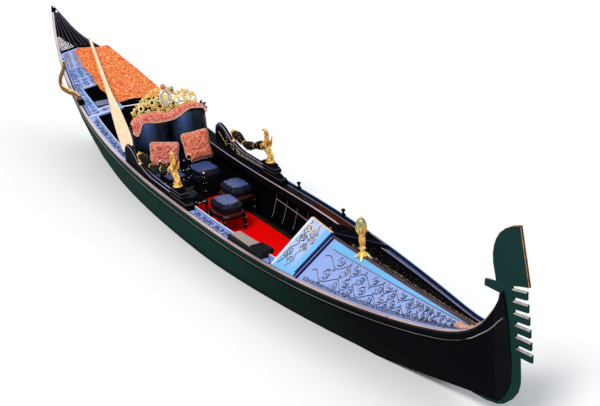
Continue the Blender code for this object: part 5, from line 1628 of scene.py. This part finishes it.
def between(value, low, high, toLow, toHigh):
    share = min(max((value - low) / (high - low), 0.0), 1.0)
    return toLow + (toHigh - toLow) * share


# A thin painted or veneered strip on a surface, between two edges given at each station
def layStrip(piece, tree, span, first, second, lift=0.0014, across=3, slot=0):
    rows = []
    for x in spread(*span):
        a, b = first(x), second(x)
        rows.append([onTop(tree, x, a + (b - a) * i / across, lift) for i in range(across + 1)])
    for row, following in zip(rows, rows[1:]):
        for i in range(across):
            corners = [row[i], row[i + 1], following[i + 1], following[i]]
            if None not in corners:
                piece.add(corners, [(0, 1, 2, 3)], slot)


def layBead(piece, tree, span, place, radius, slot=0, lift=0.001):
    path = found(onTop(tree, x, place(x), lift) for x in spread(*span))
    if len(path) > 2:
        piece.rod(path, radius, 8, slot, 0.8, (0, 0, 1))


foreDeckPlan = {
    "navy": (2.508, 2.556),      # the band across, ahead of the step
    "lineOut": 0.098,            # dark line this far from the ridge at the aft end
    "stroke": 0.0046,
    # share of the way from the rail to the line, where the row ends, seed
    "rows": ((0.31, 4.70, 5), (0.74, 4.60, 6)),
    # y, radius, slot
    "ridge": ((-0.0115, 0.0028, 1), (0.0, 0.0038, 0), (0.0115, 0.0028, 1)),
    # port half: distance from the ridge at the aft end and at the stem, where the row ends, seed
    "portRows": ((0.235, 0.085, 4.62, 22), (0.36, 0.11, 4.20, 23)),
}


def dressForeDeck():
    plan = foreDeckPlan
    blue = surfaceOf("fore_deck_starboard")
    table = edgeTable(blue, starboard, 2.51, 4.92, 60)
    rail = lambda x: readEdge(table, x, 2)
    line = lambda x: -between(x, 2.5, 4.75, plan["lineOut"], 0.022)
    strips = Workpiece()
    layStrip(strips, blue, (2.60, 4.80, 70), lambda x: -0.0165, lambda x: line(x) + 0.003, 0.0015, 3, 0)
    layStrip(strips, blue, (*plan["navy"], 3), lambda x: -0.017, rail, 0.0015, 24, 1)
    layStrip(strips, blue, (2.512, 2.518, 1), lambda x: -0.017, rail, 0.0022, 24, 2)
    strips.make("fore_deck_strips", ("cyanPaint", "navyPaint", "lilacPaint"), smooth=False)
    beads = Workpiece()
    layBead(beads, blue, (2.66, 4.80, 90), line, 0.0042)
    layBead(beads, blue, (2.62, 4.90, 90), lambda x: rail(x) + 0.020, 0.0030, 1)
    layBead(beads, blue, (2.62, 4.90, 90), lambda x: rail(x) + 0.006, 0.0045, 2)
    ridge = surfaceOf("fore_ridge")
    for y, radius, slot in plan["ridge"]:
        layBead(beads, ridge, (2.52, 4.90, 70), lambda x: y, radius, slot, 0.0012)
    beads.make("fore_deck_beads", ("ridgeBrown", "inkLineAndShade", "lilacPaint"))
    # rows of fine scrolls over the whole width
    place = within(blue, lambda x, y: rail(x) + 0.022 < y < line(x) - 0.012 and 2.60 < x < 4.86)
    carving = Workpiece()
    spanAt = lambda x: abs(rail(x) - line(x))
    for share, end, seed in plan["rows"]:
        row = [(x, rail(x) * (1 - share) + line(x) * share) for x in spread(2.64, end, 40)]
        half = lambda s, end=end: max(0.255 * spanAt(2.64 + (end - 2.64) * s), 0.034)
        for k, stroke in enumerate(runningScroll(row, half, plan["stroke"], seed, 1.75, 1.45, 6)):
            carve(carving, place, stroke, body=1 if k % 5 == 1 else 0, height=0.0030)
    edge = [(x, rail(x) + 0.036) for x in spread(2.63, 4.80, 60)]
    carveAll(carving, place, curlBand(edge, lambda s: 0.018, 0.0042, 8, 0.9), 0, 0, 1)
    carving.make("fore_deck_scrolls", ("inkLineAndShade", "railPaint", "pearlPaint"), smooth=False)

    black = surfaceOf("fore_deck_port")
    tablePort = edgeTable(black, port, 2.51, 4.92, 60)
    railPort = lambda x: readEdge(tablePort, x, 2)
    # a width that narrows from the deck's aft end to the stem
    taper = lambda x, first, last: between(x, 2.5, 4.8, first, last)
    strips = Workpiece()
    layStrip(strips, black, (2.56, 4.86, 70), lambda x: railPort(x) - 0.014,
             lambda x: railPort(x) - taper(x, 0.105, 0.030), 0.0015)
    strips.make("fore_deck_navy", "navyPaint", smooth=False)
    beads = Workpiece()
    span = (2.56, 4.86, 80)
    layBead(beads, black, (2.54, 4.90, 80), lambda x: railPort(x) - 0.006, 0.0038, 0)
    layBead(beads, black, span, lambda x: railPort(x) - taper(x, 0.110, 0.034), 0.0032, 1)
    layBead(beads, black, span, lambda x: 0.030, 0.0030, 2)
    layBead(beads, black, span, lambda x: railPort(x) - taper(x, 0.060, 0.020), 0.0016, 1)
    beads.make("fore_deck_port_beads", ("blackLacquer", "lilacPaint", "ridgeBrown"))
    inward = lambda x: railPort(x) - taper(x, 0.125, 0.040)
    placePort = within(black, lambda x, y: 0.034 < y < inward(x) and 2.58 < x < 4.84)
    carving = Workpiece()
    halfPort = lambda s: max(0.055 * (1 - s) + 0.016, 0.016)
    near = [(x, taper(x, 0.105, 0.050)) for x in spread(2.62, 4.80, 50)]
    carveAll(carving, placePort, runningScroll(near, halfPort, 0.0058, 21, 1.4, 1.4, 5),
             0, 1, 2, height=0.0036)
    for first, last, end, seed in plan["portRows"]:
        row = [(x, taper(x, first, last)) for x in spread(2.62, end, 50)]
        carveAll(carving, placePort, runningScroll(row, halfPort, 0.0050, seed, 1.5, 1.4, 4),
                 0, 0, 1, height=0.0034)
    carving.make("fore_deck_port_carving", ("blackMatte", "brownGold", "paleGold"), smooth=False)

    # gilding where the deck runs out at the stem
    both = surfaceOf("fore_deck_starboard", "fore_deck_port", "fore_ridge")
    gilt = Workpiece()
    placeEnd = within(both, lambda x, y: rail(x) + 0.008 < y < 0.03)
    end = [(x, (rail(x) - 0.01) * 0.45) for x in spread(4.60, 4.92, 14)]
    carveAll(gilt, placeEnd, curlBand(end, lambda s: 0.034, 0.0068, 51, 0.42), 1, 0, 2, height=0.006)
    gilt.make("stem_gilding", ("railPaint", "copperGold", "paleGold"), smooth=False)


stepPlan = {
    "aft": 2.108, "crown": 0.002,
    # name, from and to across the boat, rows (x and seed), half width, stroke, finishes
    "carvings": (("fore_step_scrolls", -0.49, -0.01, ((2.195, 61), (2.325, 62)), 0.060, 0.0050,
                  ("inkLineAndShade", "railPaint", "cream")),
                 ("fore_step_port_carving", 0.03, 0.62, ((2.21, 67), (2.36, 68)), 0.074, 0.0050,
                  ("blackMatte", "brownGold", "brownGold"))),
}


def dressStep():
    step = surfaceOf("fore_step")
    table = {side: edgeTable(step, side, 2.12, 2.48, 8) for side in sideName}
    right = lambda x: readEdge(table[starboard], x, 2)
    left = lambda x: readEdge(table[port], x, 2)
    crown = lambda x: stepPlan["crown"]
    trims = Workpiece()
    layStrip(trims, step, (stepPlan["aft"], stepPlan["aft"] + 0.030, 2), right, crown, 0.0020, 40, 0)
    layStrip(trims, step, (2.482, 2.499, 2), right, left, 0.0016, 40, 1)
    trims.make("fore_step_trims", ("whitePaint", "navyPaint"), smooth=False)
    beads = Workpiece()
    layBead(beads, step, (2.112, 2.490, 30), lambda x: 0.010, 0.0125, 0, -0.002)
    for k in range(22):
        angle = 2.4 + 4.6 * k / 21
        reach = 0.030 + 0.026 * (k % 2)
        spot = onTop(step, 2.215 + 1.25 * reach * math.cos(angle), -0.070 + reach * math.sin(angle))
        if spot is not None:
            beads.ball(spot, 0.011, 3, 8, 5, (1.2, 1.2, 0.5))
    layBead(beads, step, (2.112, 2.490, 30), lambda x: left(x) - 0.012, 0.0040, 1)
    spot = onTop(step, 2.375, 0.050)
    if spot is not None:
        beads.ball(spot + Vector((0, 0, 0.004)), 0.014, 2, 12, 8)
    beads.make("fore_step_beads", ("gold", "lilacPaint", "redDot", "cream"))
    place = within(step, lambda x, y: 2.140 < x < 2.40 and right(x) + 0.030 < y < left(x) - 0.02)
    for name, start, end, rows, half, wide, colours in stepPlan["carvings"]:
        chance = random.Random(60)
        carving = Workpiece()
        for x, seed in rows:
            middle = [(x + 0.010 * math.sin(17 * y + seed), y) for y in spread(start, end, 30)]
            for stroke in runningScroll(middle, lambda s: half, wide, seed, 1.30, 1.4, 5):
                if all((p.y < 0) == (start < 0) for p in stroke[0]):
                    tone = 0 if start > 0 else chance.choice((0, 0, 1, 1, 2))
                    if start > 0 or math.sin(21 * stroke[0][0].y + seed) > -0.35:
                        carve(carving, place, stroke, body=tone, height=0.0036)
        carving.make(name, colours, smooth=False)


# The deck's carved stretches: from, to, seed
sideDeckPlan = {
    "blue": ((0.24, 1.185, 71), (1.925, 2.05, 72), (-2.90, -1.66, 73)),
    "black": ((-1.58, -0.26, 81), (0.26, 0.75, 83)),
    # side, from, to, slot, radius
    "coamings": ((port, -0.20, 2.06, 0, 0.0066), (port, -1.60, -0.20, 1, 0.0060),
                 (starboard, 0.00, 2.06, 3, 0.0060), (starboard, -1.60, 0.0, 1, 0.0050),
                 (port, -2.93, -1.60, 1, 0.0050), (starboard, -2.93, -1.60, 3, 0.0060)),
}


def dressSideDecks():
    deck = {side: surfaceOf("side_deck_" + sideName[side]) for side in sideName}
    table = {side: edgeTable(deck[side], side, -2.93, 2.06, 90) for side in sideName}
    blue, black = deck[starboard], deck[port]
    blueIn, blueOut = (lambda x, n=n: readEdge(table[starboard], x, n) for n in (1, 2))
    blackIn, blackOut = (lambda x, n=n: readEdge(table[port], x, n) for n in (1, 2))
    place = within(blue, lambda x, y: blueOut(x) + 0.016 < y < blueIn(x) - 0.020)
    carving = Workpiece()
    for start, end, seed in sideDeckPlan["blue"]:
        middle = [(x, (blueIn(x) + blueOut(x)) / 2) for x in spread(start, end, 40)]
        carveAll(carving, place, runningScroll(middle, lambda s: 0.062, 0.0066, seed, 1.3, 1.4, 5))
    carving.make("side_deck_scrolls", ("navyInkAndShade", "blueBody", "lilacBlue"), smooth=False)

    beads = Workpiece()
    for side, start, end, slot, radius in sideDeckPlan["coamings"]:
        layBead(beads, deck[side], (start, end, 70), lambda x: readEdge(table[side], x, 1) + side * 0.007,
                radius, slot)
    # the port side deck is red-brown beside the carpet
    veneer = Workpiece()
    layStrip(veneer, black, (0.92, 2.02, 30), lambda x: blackIn(x) + 0.020,
             lambda x: blackOut(x) - 0.045, 0.0012, 4)
    veneer.make("side_deck_port_veneer", "brownLacquer", smooth=False)
    # long lines on the port side deck and beside both rails
    layBead(beads, black, (0.85, 1.55, 30), lambda x: blackIn(x) + 0.050, 0.0034, 1)
    layBead(beads, black, (0.25, 2.04, 60), lambda x: blackOut(x) - 0.034, 0.0024, 1)
    layBead(beads, blue, (0.25, 2.04, 60), lambda x: blueOut(x) + 0.010, 0.0040, 2)
    beads.make("side_deck_beads", ("railPaint", "lilacPaint", "blackLacquer", "whitePaint"))

    strips = Workpiece()
    # painted shadow: a black strip along the starboard rail beside the boarding mat
    layStrip(strips, blue, (1.20, 1.90, 20), lambda x: blueOut(x) + 0.004,
             lambda x: blueOut(x) + 0.042, 0.0016, 2)
    layStrip(strips, blue, (2.045, 2.068, 2), blueOut, blueIn, 0.0016, 6)
    layStrip(strips, black, (-2.93, -1.63, 30), lambda x: blackIn(x) + 0.02,
             lambda x: blackOut(x) - 0.01, 0.0014, 4)
    layStrip(strips, blue, (-1.60, 0.24, 40), lambda x: blueIn(x) - 0.016,
             lambda x: blueOut(x) + 0.002)
    strips.make("side_deck_strips", "blackLacquer", smooth=False)

    # carved band on the port side deck, amidships
    placePort = within(black, lambda x, y: blackIn(x) + 0.020 < y < blackOut(x) - 0.035)
    carving = Workpiece()
    for start, end, seed in sideDeckPlan["black"]:
        middle = [(x, (blackIn(x) + blackOut(x)) / 2 - 0.01) for x in spread(start, end, 40)]
        carveAll(carving, placePort, runningScroll(middle, lambda s: 0.050, 0.0046, seed, 1.5, 1.4, 4),
                 0, 0, 1)
    carving.make("side_deck_port_carving", ("blackLacquer", "darkPearl"), smooth=False)


# Pale lines where the light catches the ribs, and the beads on the rails
hullLines = {
    "ribs": (-0.25, 0.0, 0.25, 0.5, 0.75, 1.0, 1.25, 1.5, 1.75, 2.0),
    "ribLine": 0.0015,
    # x and z of the rub strake's line where it runs on up the stem, of the line across the ribs
    "line": ((4.815, 0.811), (4.867, 0.840), (4.918, 0.876), (4.965, 0.914), (5.015, 0.953), (5.060, 0.996),
             (5.101, 1.038), (5.132, 1.079), (5.160, 1.107), (5.185, 1.136)),
    "across": ((-0.25, 0.325), (0.0, 0.322), (0.25, 0.313), (0.50, 0.302), (0.75, 0.292)),
}


def dressHull():
    ribs = surfaceOf("frames")
    lines = Workpiece()
    for side in sideName:
        for x in hullLines["ribs"]:
            path = found(onSide(ribs, x + 0.011, z, side, 0.001) for z in spread(0.104, 0.445, 9))
            if len(path) > 3:
                lines.rod(smoothLine(path, 4), hullLines["ribLine"], 5, 0)
    lines.make("rib_lines", "ribPale")
    beads = Workpiece()
    for side in sideName:
        rail = surfaceOf("gunwale_" + sideName[side])
        table = edgeTable(rail, side, -5.28, 5.08, 160)
        outer = lambda x: readEdge(table, x, 2) - side * 0.004
        layBead(beads, rail, (-5.28, 5.08, 200), outer, 0.0048, 1 if side == port else 0, 0.0)
        hull = surfaceOf("side_planking_" + sideName[side], "rub_strake_" + sideName[side], "stem_post")
        path = found(meet(hull, (x, side * 2.0, z), (0, -side, 0)) for x, z in hullLines["line"])
        beads.rod(smoothLine(path, 5), 0.0050, 6, 2)
    beads.rod(found(onSide(ribs, x + 0.011, z, port, 0.002) for x, z in hullLines["across"]), 0.0042, 6)
    stringer = surfaceOf("stringer_port")
    table = edgeTable(stringer, port, -0.50, 2.05, 30)
    layBead(beads, stringer, (-0.50, 2.05, 60), lambda x: readEdge(table, x, 1) + 0.004, 0.0045, 0)
    beads.make("rail_beads", ("railPaint", "tealWhite", "rubLine"))


# Mouldings along the parapets, a carved band inside them, and ribs on the pedestals
parapetPlan = {
    "top": ((-0.24, 0.655), (-0.80, 0.665), (-0.95, 0.685), (-1.095, 0.730), (-1.165, 0.730), (-1.25, 0.795),
            (-1.36, 0.858), (-1.45, 0.885), (-1.53, 0.875), (-1.59, 0.825), (-1.62, 0.74)),
    # carved from this height up to this far below the top
    "carved": (0.585, 0.044),
    # below the top, radius, slot, on the inner face
    "mouldings": ((0.012, 0.0060, 0, True), (0.042, 0.0040, 1, True), (0.010, 0.0048, 0, False)),
    "bands": ((0.604, 0.008), (0.622, 0.006), (0.640, 0.008), (0.668, 0.006), (0.690, 0.008), (0.712, 0.006),
              (0.740, 0.009)),
}


def parapetTop(x):
    return readEdge(parapetPlan["top"][::-1], x, 1)


def dressParapets():
    for side in sideName:
        name = sideName[side]
        wall = surfaceOf("parapet_" + name)
        trims = Workpiece()
        xs = spread(-1.605, -0.25, 70)

        def face(x, z, fromInside=True, lift=0.001):
            if fromInside:
                return meet(wall, (x, 0, z), (0, side, 0), lift)
            return meet(wall, (x, side * 1.5, z), (0, -side, 0), lift)
        for drop, radius, slot, fromInside in parapetPlan["mouldings"]:
            trims.rod(found(face(x, parapetTop(x) - drop, fromInside) for x in xs), radius, 6, slot)
        if side == port:
            trims.rod(found(face(x, 0.590) for x in xs), 0.0036, 6)
        trims.make("parapet_" + name + "_mouldings", ("lilacPaint", "darkPearl"))
        carving = Workpiece()
        foot, margin = parapetPlan["carved"]

        def place(x, z, lift):
            if -1.60 < x < -0.25 and foot < z < parapetTop(x) - margin:
                return face(x, z, True, lift)
        middle = [(x, 0.5 * (foot + parapetTop(x) - margin)) for x in spread(-1.58, -0.27, 60)]
        room = lambda s: max(0.5 * (parapetTop(-1.58 + 1.31 * s) - margin - foot), 0.014)
        carveAll(carving, place, runningScroll(middle, room, 0.0040, 91 + side, 1.7, 1.3, 4), 0, 1, 2)
        carving.make("parapet_" + name + "_carving",
                     ("blackLacquer", "brownGold", "paleGold"), smooth=False)
        # pedestal ribs, following the node's own outline
        block = surfaceOf("pedestal_" + name)
        low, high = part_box("pedestal_" + name)
        ribs = Workpiece()
        for z, thick in parapetPlan["bands"]:
            if z > high[2] - 0.004:
                continue
            middle = (low[1] + high[1]) / 2
            aft, fore = (meet(block, (-0.6 * way, middle, z), (way, 0, 0)) for way in (1, -1))
            if aft is None or fore is None:
                continue
            ring = [Vector((x, y, z)) for x, y in (
                (aft.x - 0.002, low[1] - 0.001), (fore.x + 0.002, low[1] - 0.001),
                (fore.x + 0.002, high[1] + 0.001), (aft.x - 0.002, high[1] + 0.001))]
            loop = []
            for p, q in zip(ring, ring[1:] + ring[:1]):
                loop += [p.lerp(q, i / 5) for i in range(5)]
            # the thinner ribs take darkPearl: painted highlights on the ribbing
            ribs.rod(loop + loop[:2], thick / 2, 6, 1 if thick < 0.008 else 0, 0.9)
        ribs.make("pedestal_" + name + "_ribs", ("blackLacquer", "darkPearl"))


# Gilt knobs and dots on the little chair, beads on the stools' legs
chairPlan = {
    "x": (-0.86, -0.46), "y": (-0.395, -0.015), "tall": (0.80, 0.673),
    "foot": 0.10,
    # share of a post's height, size
    "knobs": ((0.16, 0.010), (0.40, 0.009), (0.62, 0.012), (0.80, 0.010), (0.93, 0.013)),
    # the stools' middles, how far out their legs stand, and the height and reach of the beads round a leg
    "stools": ((-0.47, 0.40), (-0.06, 0.06)),
    "legs": (0.235 * 0.75, 0.183 * 0.75),
    "beads": ((0.165, 0.023), (0.215, 0.017), (0.255, 0.025)),
}


def dressChairAndStools():
    dots = Workpiece()
    for i, x in enumerate(chairPlan["x"]):
        for y in chairPlan["y"]:
            high = chairPlan["tall"][i]
            for k, (share, size) in enumerate(chairPlan["knobs"]):
                z = chairPlan["foot"] + (high - chairPlan["foot"]) * share
                for j in range(3):
                    angle = math.tau * j / 3 + k
                    dots.ball((x + 0.020 * math.cos(angle), y + 0.020 * math.sin(angle), z), size * 0.45,
                              1 if (k + j) % 4 == 0 else 0, 7, 4)
            dots.ball((x, y, high + 0.010), 0.014, 0, 12, 8)
    chance = random.Random(17)
    for k in range(16):          # carved leaves on the slats and the aprons
        y = chairPlan["y"][0] + (chairPlan["y"][1] - chairPlan["y"][0]) * chance.random()
        for x, z in ((-0.846, 0.52 + 0.11 * int(chance.random() * 3)), (-0.455, 0.33)):
            at = (x, y, z + 0.024 * (chance.random() - 0.5))
            dots.ball(at, 0.0065, chance.randrange(2), 6, 4, (0.6, 1.5, 1))
    for x, y in chairPlan["stools"]:
        for i in (-1, 1):
            for j in (-1, 1):
                at = (x + i * chairPlan["legs"][0], y + j * chairPlan["legs"][1])
                for z, reach in chairPlan["beads"]:
                    for n in range(5):
                        angle = math.tau * n / 5 + z * 30
                        spot = (at[0] + reach * math.cos(angle), at[1] + reach * math.sin(angle), z)
                        dots.ball(spot, 0.0045, n % 2, 6, 4)
    dots.make("seat_gilt_dots", ("paleGold", "whitePaint"))


ironPlan = {
    # worn: how far the painted highlight runs down each tooth's side
    "edge": 0.0022, "faceY": 0.0095, "from": 1.50, "worn": 0.012, "up": 0.80,
    # level looks from behind and from ahead: start, direction, lowest z
    "looks": ((4.4, 1, 1.50), (6.0, -1, 1.47)),
    # the comb's teeth are ahead of this x and below this z, and their tops larger than this area
    "comb": (5.24, 1.62, 0.0008),
    # the rear tooth is behind this x and above this z
    "rear": (5.02, 1.3),
}


# A gilt line on the iron's outline as seen from the side, and painted highlights on the tops of its teeth
def dressIron():
    iron = surfaceOf("bow_iron")
    combX, combZ, combArea = ironPlan["comb"]
    rearX, rearZ = ironPlan["rear"]
    gilt = Workpiece()
    zs = spread(ironPlan["from"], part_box("bow_iron")[1][2] - 0.004, 90)
    for start, ahead, lowest in ironPlan["looks"]:
        edge = found(meet(iron, (start, 0, z), (ahead, 0, 0)) for z in zs if z >= lowest)
        for face in (-1, 1):
            run = []
            for p in edge + [None]:
                if p is not None and (not run or (p - run[-1]).length < 0.08):
                    run.append(p + Vector((0, face * ironPlan["faceY"], 0)))
                else:
                    if len(run) > 4:
                        gilt.rod(run, ironPlan["edge"], 6)
                    run = []
    gilt.make("iron_gilt_edge", "copperGold")
    tops = Workpiece()
    mesh = nodes["bow_iron"].data
    for face in mesh.polygons:
        middle = face.center
        flatTop = middle.x > combX and middle.z < combZ and face.area > combArea
        rearTop = middle.x < rearX and middle.z > rearZ
        # faces that look up on the teeth take a pale or steel-blue painted highlight
        if face.normal.z > ironPlan["up"] and (flatTop or rearTop):
            corners = [mesh.vertices[i].co + Vector((0, 0, 0.0012)) for i in face.vertices]
            tops.add(corners, [tuple(range(len(corners)))], 0 if flatTop else 1)
            for outward in (-1, 1):     # painted highlight down the upper edge of each tooth's side
                edge = [p + Vector((0, outward * 0.0008, 0)) for p in corners if p.y * outward > 0.005]
                if len(edge) == 2:
                    down = Vector((0, 0, -ironPlan["worn"]))
                    tops.add([edge[0], edge[1], edge[1] + down, edge[0] + down], [(0, 1, 2, 3)], 0)
    tops.make("iron_tooth_tops", ("toothTopHighlight", "steelBlueHighlight"), smooth=False)


deckOrnamentPlan = {
    "x": 3.05,
    "profile": ((0.050, 0.000), (0.054, 0.008), (0.050, 0.016), (0.034, 0.024), (0.022, 0.040),
                (0.020, 0.058), (0.030, 0.072), (0.034, 0.082), (0.022, 0.094), (0.020, 0.110),
                (0.026, 0.135), (0.029, 0.165), (0.026, 0.190), (0.019, 0.212), (0.030, 0.224),
                (0.032, 0.232), (0.022, 0.244), (0.026, 0.254), (0.042, 0.266), (0.053, 0.284),
                (0.058, 0.308), (0.058, 0.334), (0.053, 0.360), (0.042, 0.382), (0.026, 0.398),
                (0.010, 0.408)),
}


def makeDeckOrnament():
    low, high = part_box("deck_ornament")
    x, z = deckOrnamentPlan["x"], low[2]
    scale = (high[2] - 0.032 - z) / deckOrnamentPlan["profile"][-1][1]
    profile = [(r if h < 0.255 else r * 0.86, h * scale) for r, h in deckOrnamentPlan["profile"]]
    body = Workpiece()
    body.turned([p for p in profile if p[1] < 0.258 * scale], (x, 0, z), 32, 0, 16, 0.0040, (0.11, 0.25))
    body.turned([p for p in profile if p[1] > 0.250 * scale], (x, 0, z), 32, 1, 12, 0.0050, (0.26, 0.42))
    body.ball((x, 0, high[2] - 0.030), 0.012, 0, 12, 8)
    for k in range(10):          # acanthus leaves that hold the bulb
        angle = math.tau * k / 10
        c, s = math.cos(angle), math.sin(angle)
        body.rod([(x + r * c, r * s, z + h * scale) for r, h in
                  ((0.024, 0.240), (0.038, 0.256), (0.048, 0.278), (0.052, 0.304), (0.050, 0.336))],
                 [0.007, 0.009, 0.008, 0.006, 0.003], 6, 0)
    for k in range(6):           # spiral band round the stem
        path = []
        for i in range(16):
            turn = math.tau * (k / 6 + 0.35 * i / 15)
            h = 0.112 + 0.095 * i / 15
            path.append((x + 0.029 * math.cos(turn), 0.029 * math.sin(turn), z + h * scale))
        body.rod(path, 0.0032, 5, 2)
    deck = surfaceOf("fore_deck_port", "fore_deck_starboard", "fore_ridge")
    for k in range(4):           # leaf feet
        angle = math.tau * (k + 0.5) / 4
        c, s = math.cos(angle), math.sin(angle)
        path = []
        for reach, up in ((0.030, 0.030), (0.050, 0.026), (0.066, 0.014), (0.080, 0.008), (0.090, 0.012)):
            spot = onTop(deck, x + reach * c, reach * s)
            path.append((x + reach * c, reach * s, max(spot.z + up if spot else z, z - 0.03)))
        body.rod(path, [0.012, 0.014, 0.012, 0.009, 0.004], 7, 3)
    made = body.make("deck_ornament_gilt", ("gold", "greenGold", "copperGold", "paleGold"))
    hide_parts("deck_ornament")


# The stern's rows of carving, each with its seed, and the lines round its well
sternPlan = {
    # share of the way from the rail to the middle: scrolls, then gilt and pink figures at the deck's end
    "scrolls": ((0.25, 101), (0.50, 102), (0.75, 103)),
    "figures": ((0.30, 105), (0.62, 106)),
    # share of the half width of the stern's top
    "flutes": (-0.8, -0.55, -0.3, -0.05, 0.2, 0.45, 0.7),
    # y on the stern's top, x on the well's panel
    "gilding": ((-0.23, 111), (-0.18, 112), (-0.13, 113), (-0.08, 114)),
    "panel": ((-3.43, 121), (-3.37, 122), (-3.32, 123)),
    # no carving from this x to this x, inboard of this y
    "well": (-3.665, -3.095, -0.325),
    # from, to, stations, first and second y, across, slot
    "lines": ((-3.690, -3.668, 2, -0.33, 0.0, 10, 0), (-3.690, -3.080, 12, -0.334, -0.320, 1, 1),
              (-3.092, -3.074, 2, -0.33, 0.0, 10, 0)),
    "lift": 0.0018,
    "stud": 0.020,
}


def dressStern():
    plan = sternPlan
    lift = plan["lift"]
    aft, fore, inboard = plan["well"]
    deck = surfaceOf("stern_deck_starboard")
    table = edgeTable(deck, starboard, -4.48, -2.96, 50)
    outer = lambda x: readEdge(table, x, 2)
    rug = surfaceOf("stern_rug")
    place = within(deck, lambda x, y: outer(x) + 0.03 < y < -0.02 and -4.47 < x < -2.98
                   and not (aft < x < fore and y > inboard) and onTop(rug, x, y) is None)
    carving = Workpiece()
    for row, seed in plan["scrolls"]:
        middle = [(x, outer(x) * (1 - row)) for x in spread(-4.20, -3.0, 60)]
        carveAll(carving, place, runningScroll(middle, lambda s: 0.046, 0.0038, seed, 1.5, 1.4, 4))
    edge = [(x, outer(x) + 0.045) for x in spread(-4.45, -3.0, 60)]
    carveAll(carving, place, curlBand(edge, lambda s: 0.022, 0.0040, 104, 0.8), height=0.0024)
    for row, seed in plan["figures"]:
        middle = [(x, outer(x) * (1 - row)) for x in spread(-4.47, -4.16, 12)]
        carveAll(carving, place, curlBand(middle, lambda s: 0.030, 0.0060, seed, 0.6),
                 3, 4, 5, height=0.005)
    carving.make("stern_deck_scrolls",
                 ("navyInkAndShade", "blueBody", "lilacBlue", "brownGold", "railPaint", "cream"), smooth=False)
    both = surfaceOf("stern_deck_starboard", "stern_deck_port")
    trims = Workpiece()
    layStrip(trims, both, (-2.985, -2.962, 2), lambda x: outer(x) + 0.02, lambda x: 0.30, lift, 30)
    for start, end, count, first, second, across, slot in plan["lines"]:
        layStrip(trims, both, (start, end, count), lambda x: first, lambda x: second, lift, across, slot)
    layStrip(trims, both, (-4.40, -3.0, 40), lambda x: outer(x) + 0.004, lambda x: outer(x) + 0.022,
             lift, 1, 2)
    trims.make("stern_deck_trims", ("whitePaint", "cyanPaint", "navyPaint"), smooth=False)
    # flutes and carving on the stern's top
    top = surfaceOf("stern_top")
    ribs = Workpiece()
    for share in plan["flutes"]:
        path = []
        for k in range(34):
            x = -5.24 + 0.72 * k / 33
            edges = topEdges(top, x, -1, 0.4, 0.01)
            half = abs(edges[1]) if edges[1] is not None else 0.02
            spot = onTop(top, x, half * share, 0.0005)
            if spot is not None:
                path.append(spot)
        if len(path) > 3:
            ribs.rod(path, 0.0030, 5, 0)
    ribs.make("stern_top_lines", "darkPearl")
    gilt = Workpiece()
    placeTop = within(top, lambda x, y: -4.90 < x < -4.505 and abs(y) < 0.25
                      and y < -0.05 - 0.4 * (-4.505 - x) and onTop(rug, x, y) is None)
    for row, seed in plan["gilding"]:
        line = [(x, row * (1.0 + 0.3 * (x + 4.5))) for x in spread(-4.80, -4.51, 12)]
        carveAll(gilt, placeTop, curlBand(line, lambda s: 0.034, 0.0056, seed, 0.75), 0, 1, 2, height=0.005)
    gilt.make("stern_top_gilding", ("pearlPaint", "whitePaint", "paleGold"), smooth=False)
    studs = Workpiece()
    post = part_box("stern_post")
    studs.ball((post[0][0] + 0.05, 0.0, post[1][2] - 0.004), plan["stud"], 0, 14, 8)
    spot = onTop(top, -5.24, -0.012, 0.0)
    if spot is not None:
        studs.ball(spot + Vector((0, 0, 0.010)), plan["stud"], 0, 14, 8)
    studs.make("stern_studs", "whitePaint")
    # the well's carved panel
    well = surfaceOf("stern_well")
    carving = Workpiece()
    placeWell = within(well, lambda x, y: True)
    layStrip(carving, well, (-3.48, -3.27, 6), lambda x: -0.285, lambda x: -0.035, 0.0012, 6, 1)
    for row, seed in plan["panel"]:
        line = [(row, y) for y in spread(-0.27, -0.05, 8)]
        carveAll(carving, placeWell, curlBand(line, lambda s: 0.024, 0.0050, seed, 0.9),
                 0, 2, 2, height=0.004)
    carving.make("stern_well_carving", ("navyInkAndShade", "lilacBlue", "cream"), smooth=False)


# Brass bands round the horn at these heights, where it is no wider than twice widest
forcolaPlan = {"steps": (1.10, 1.14, 1.19, 1.27, 1.36), "widest": 0.08}


def dressForcola():
    horn = surfaceOf("forcola")
    low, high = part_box("forcola")
    y = (low[1] + high[1]) / 2
    brass = Workpiece()
    for z in forcolaPlan["steps"]:
        aft = meet(horn, (low[0] - 0.3, y, z), (1, 0, 0))
        fore = meet(horn, (high[0] + 0.3, y, z), (-1, 0, 0))
        if aft is None or fore is None or abs(fore.x - aft.x) / 2 > forcolaPlan["widest"]:
            continue
        centre = Vector(((aft.x + fore.x) / 2, y, z))
        half = abs(fore.x - aft.x) / 2 + 0.001
        ring = [centre + Vector((half * math.cos(a), 0.018 * math.sin(a), 0)) for a in anglesOf(24)]
        brass.rod(ring + ring[:2], 0.0045, 6, 0)
    brass.make("forcola_bands", "paleGold", "forcola")
    foot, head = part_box("forcola_block")
    lines = Workpiece()
    for share in (0.25, 0.6):
        x = foot[0] + (head[0] - foot[0]) * share
        ends = (foot[1] + 0.01, head[1] - 0.01)
        lines.rod([(x, y, head[2] + 0.001) for y in ends], 0.005, 6, 0, 0.5)
    lines.make("forcola_block_lines", "whitePaint")


dressForeDeck()
dressStep()
print("fore deck and step carved")
dressSideDecks()
dressHull()
dressParapets()
print("side decks, rails and parapets dressed")
dressChairAndStools()
dressIron()
makeDeckOrnament()
dressStern()
dressForcola()
print("chair, iron, deck ornament and stern dressed")
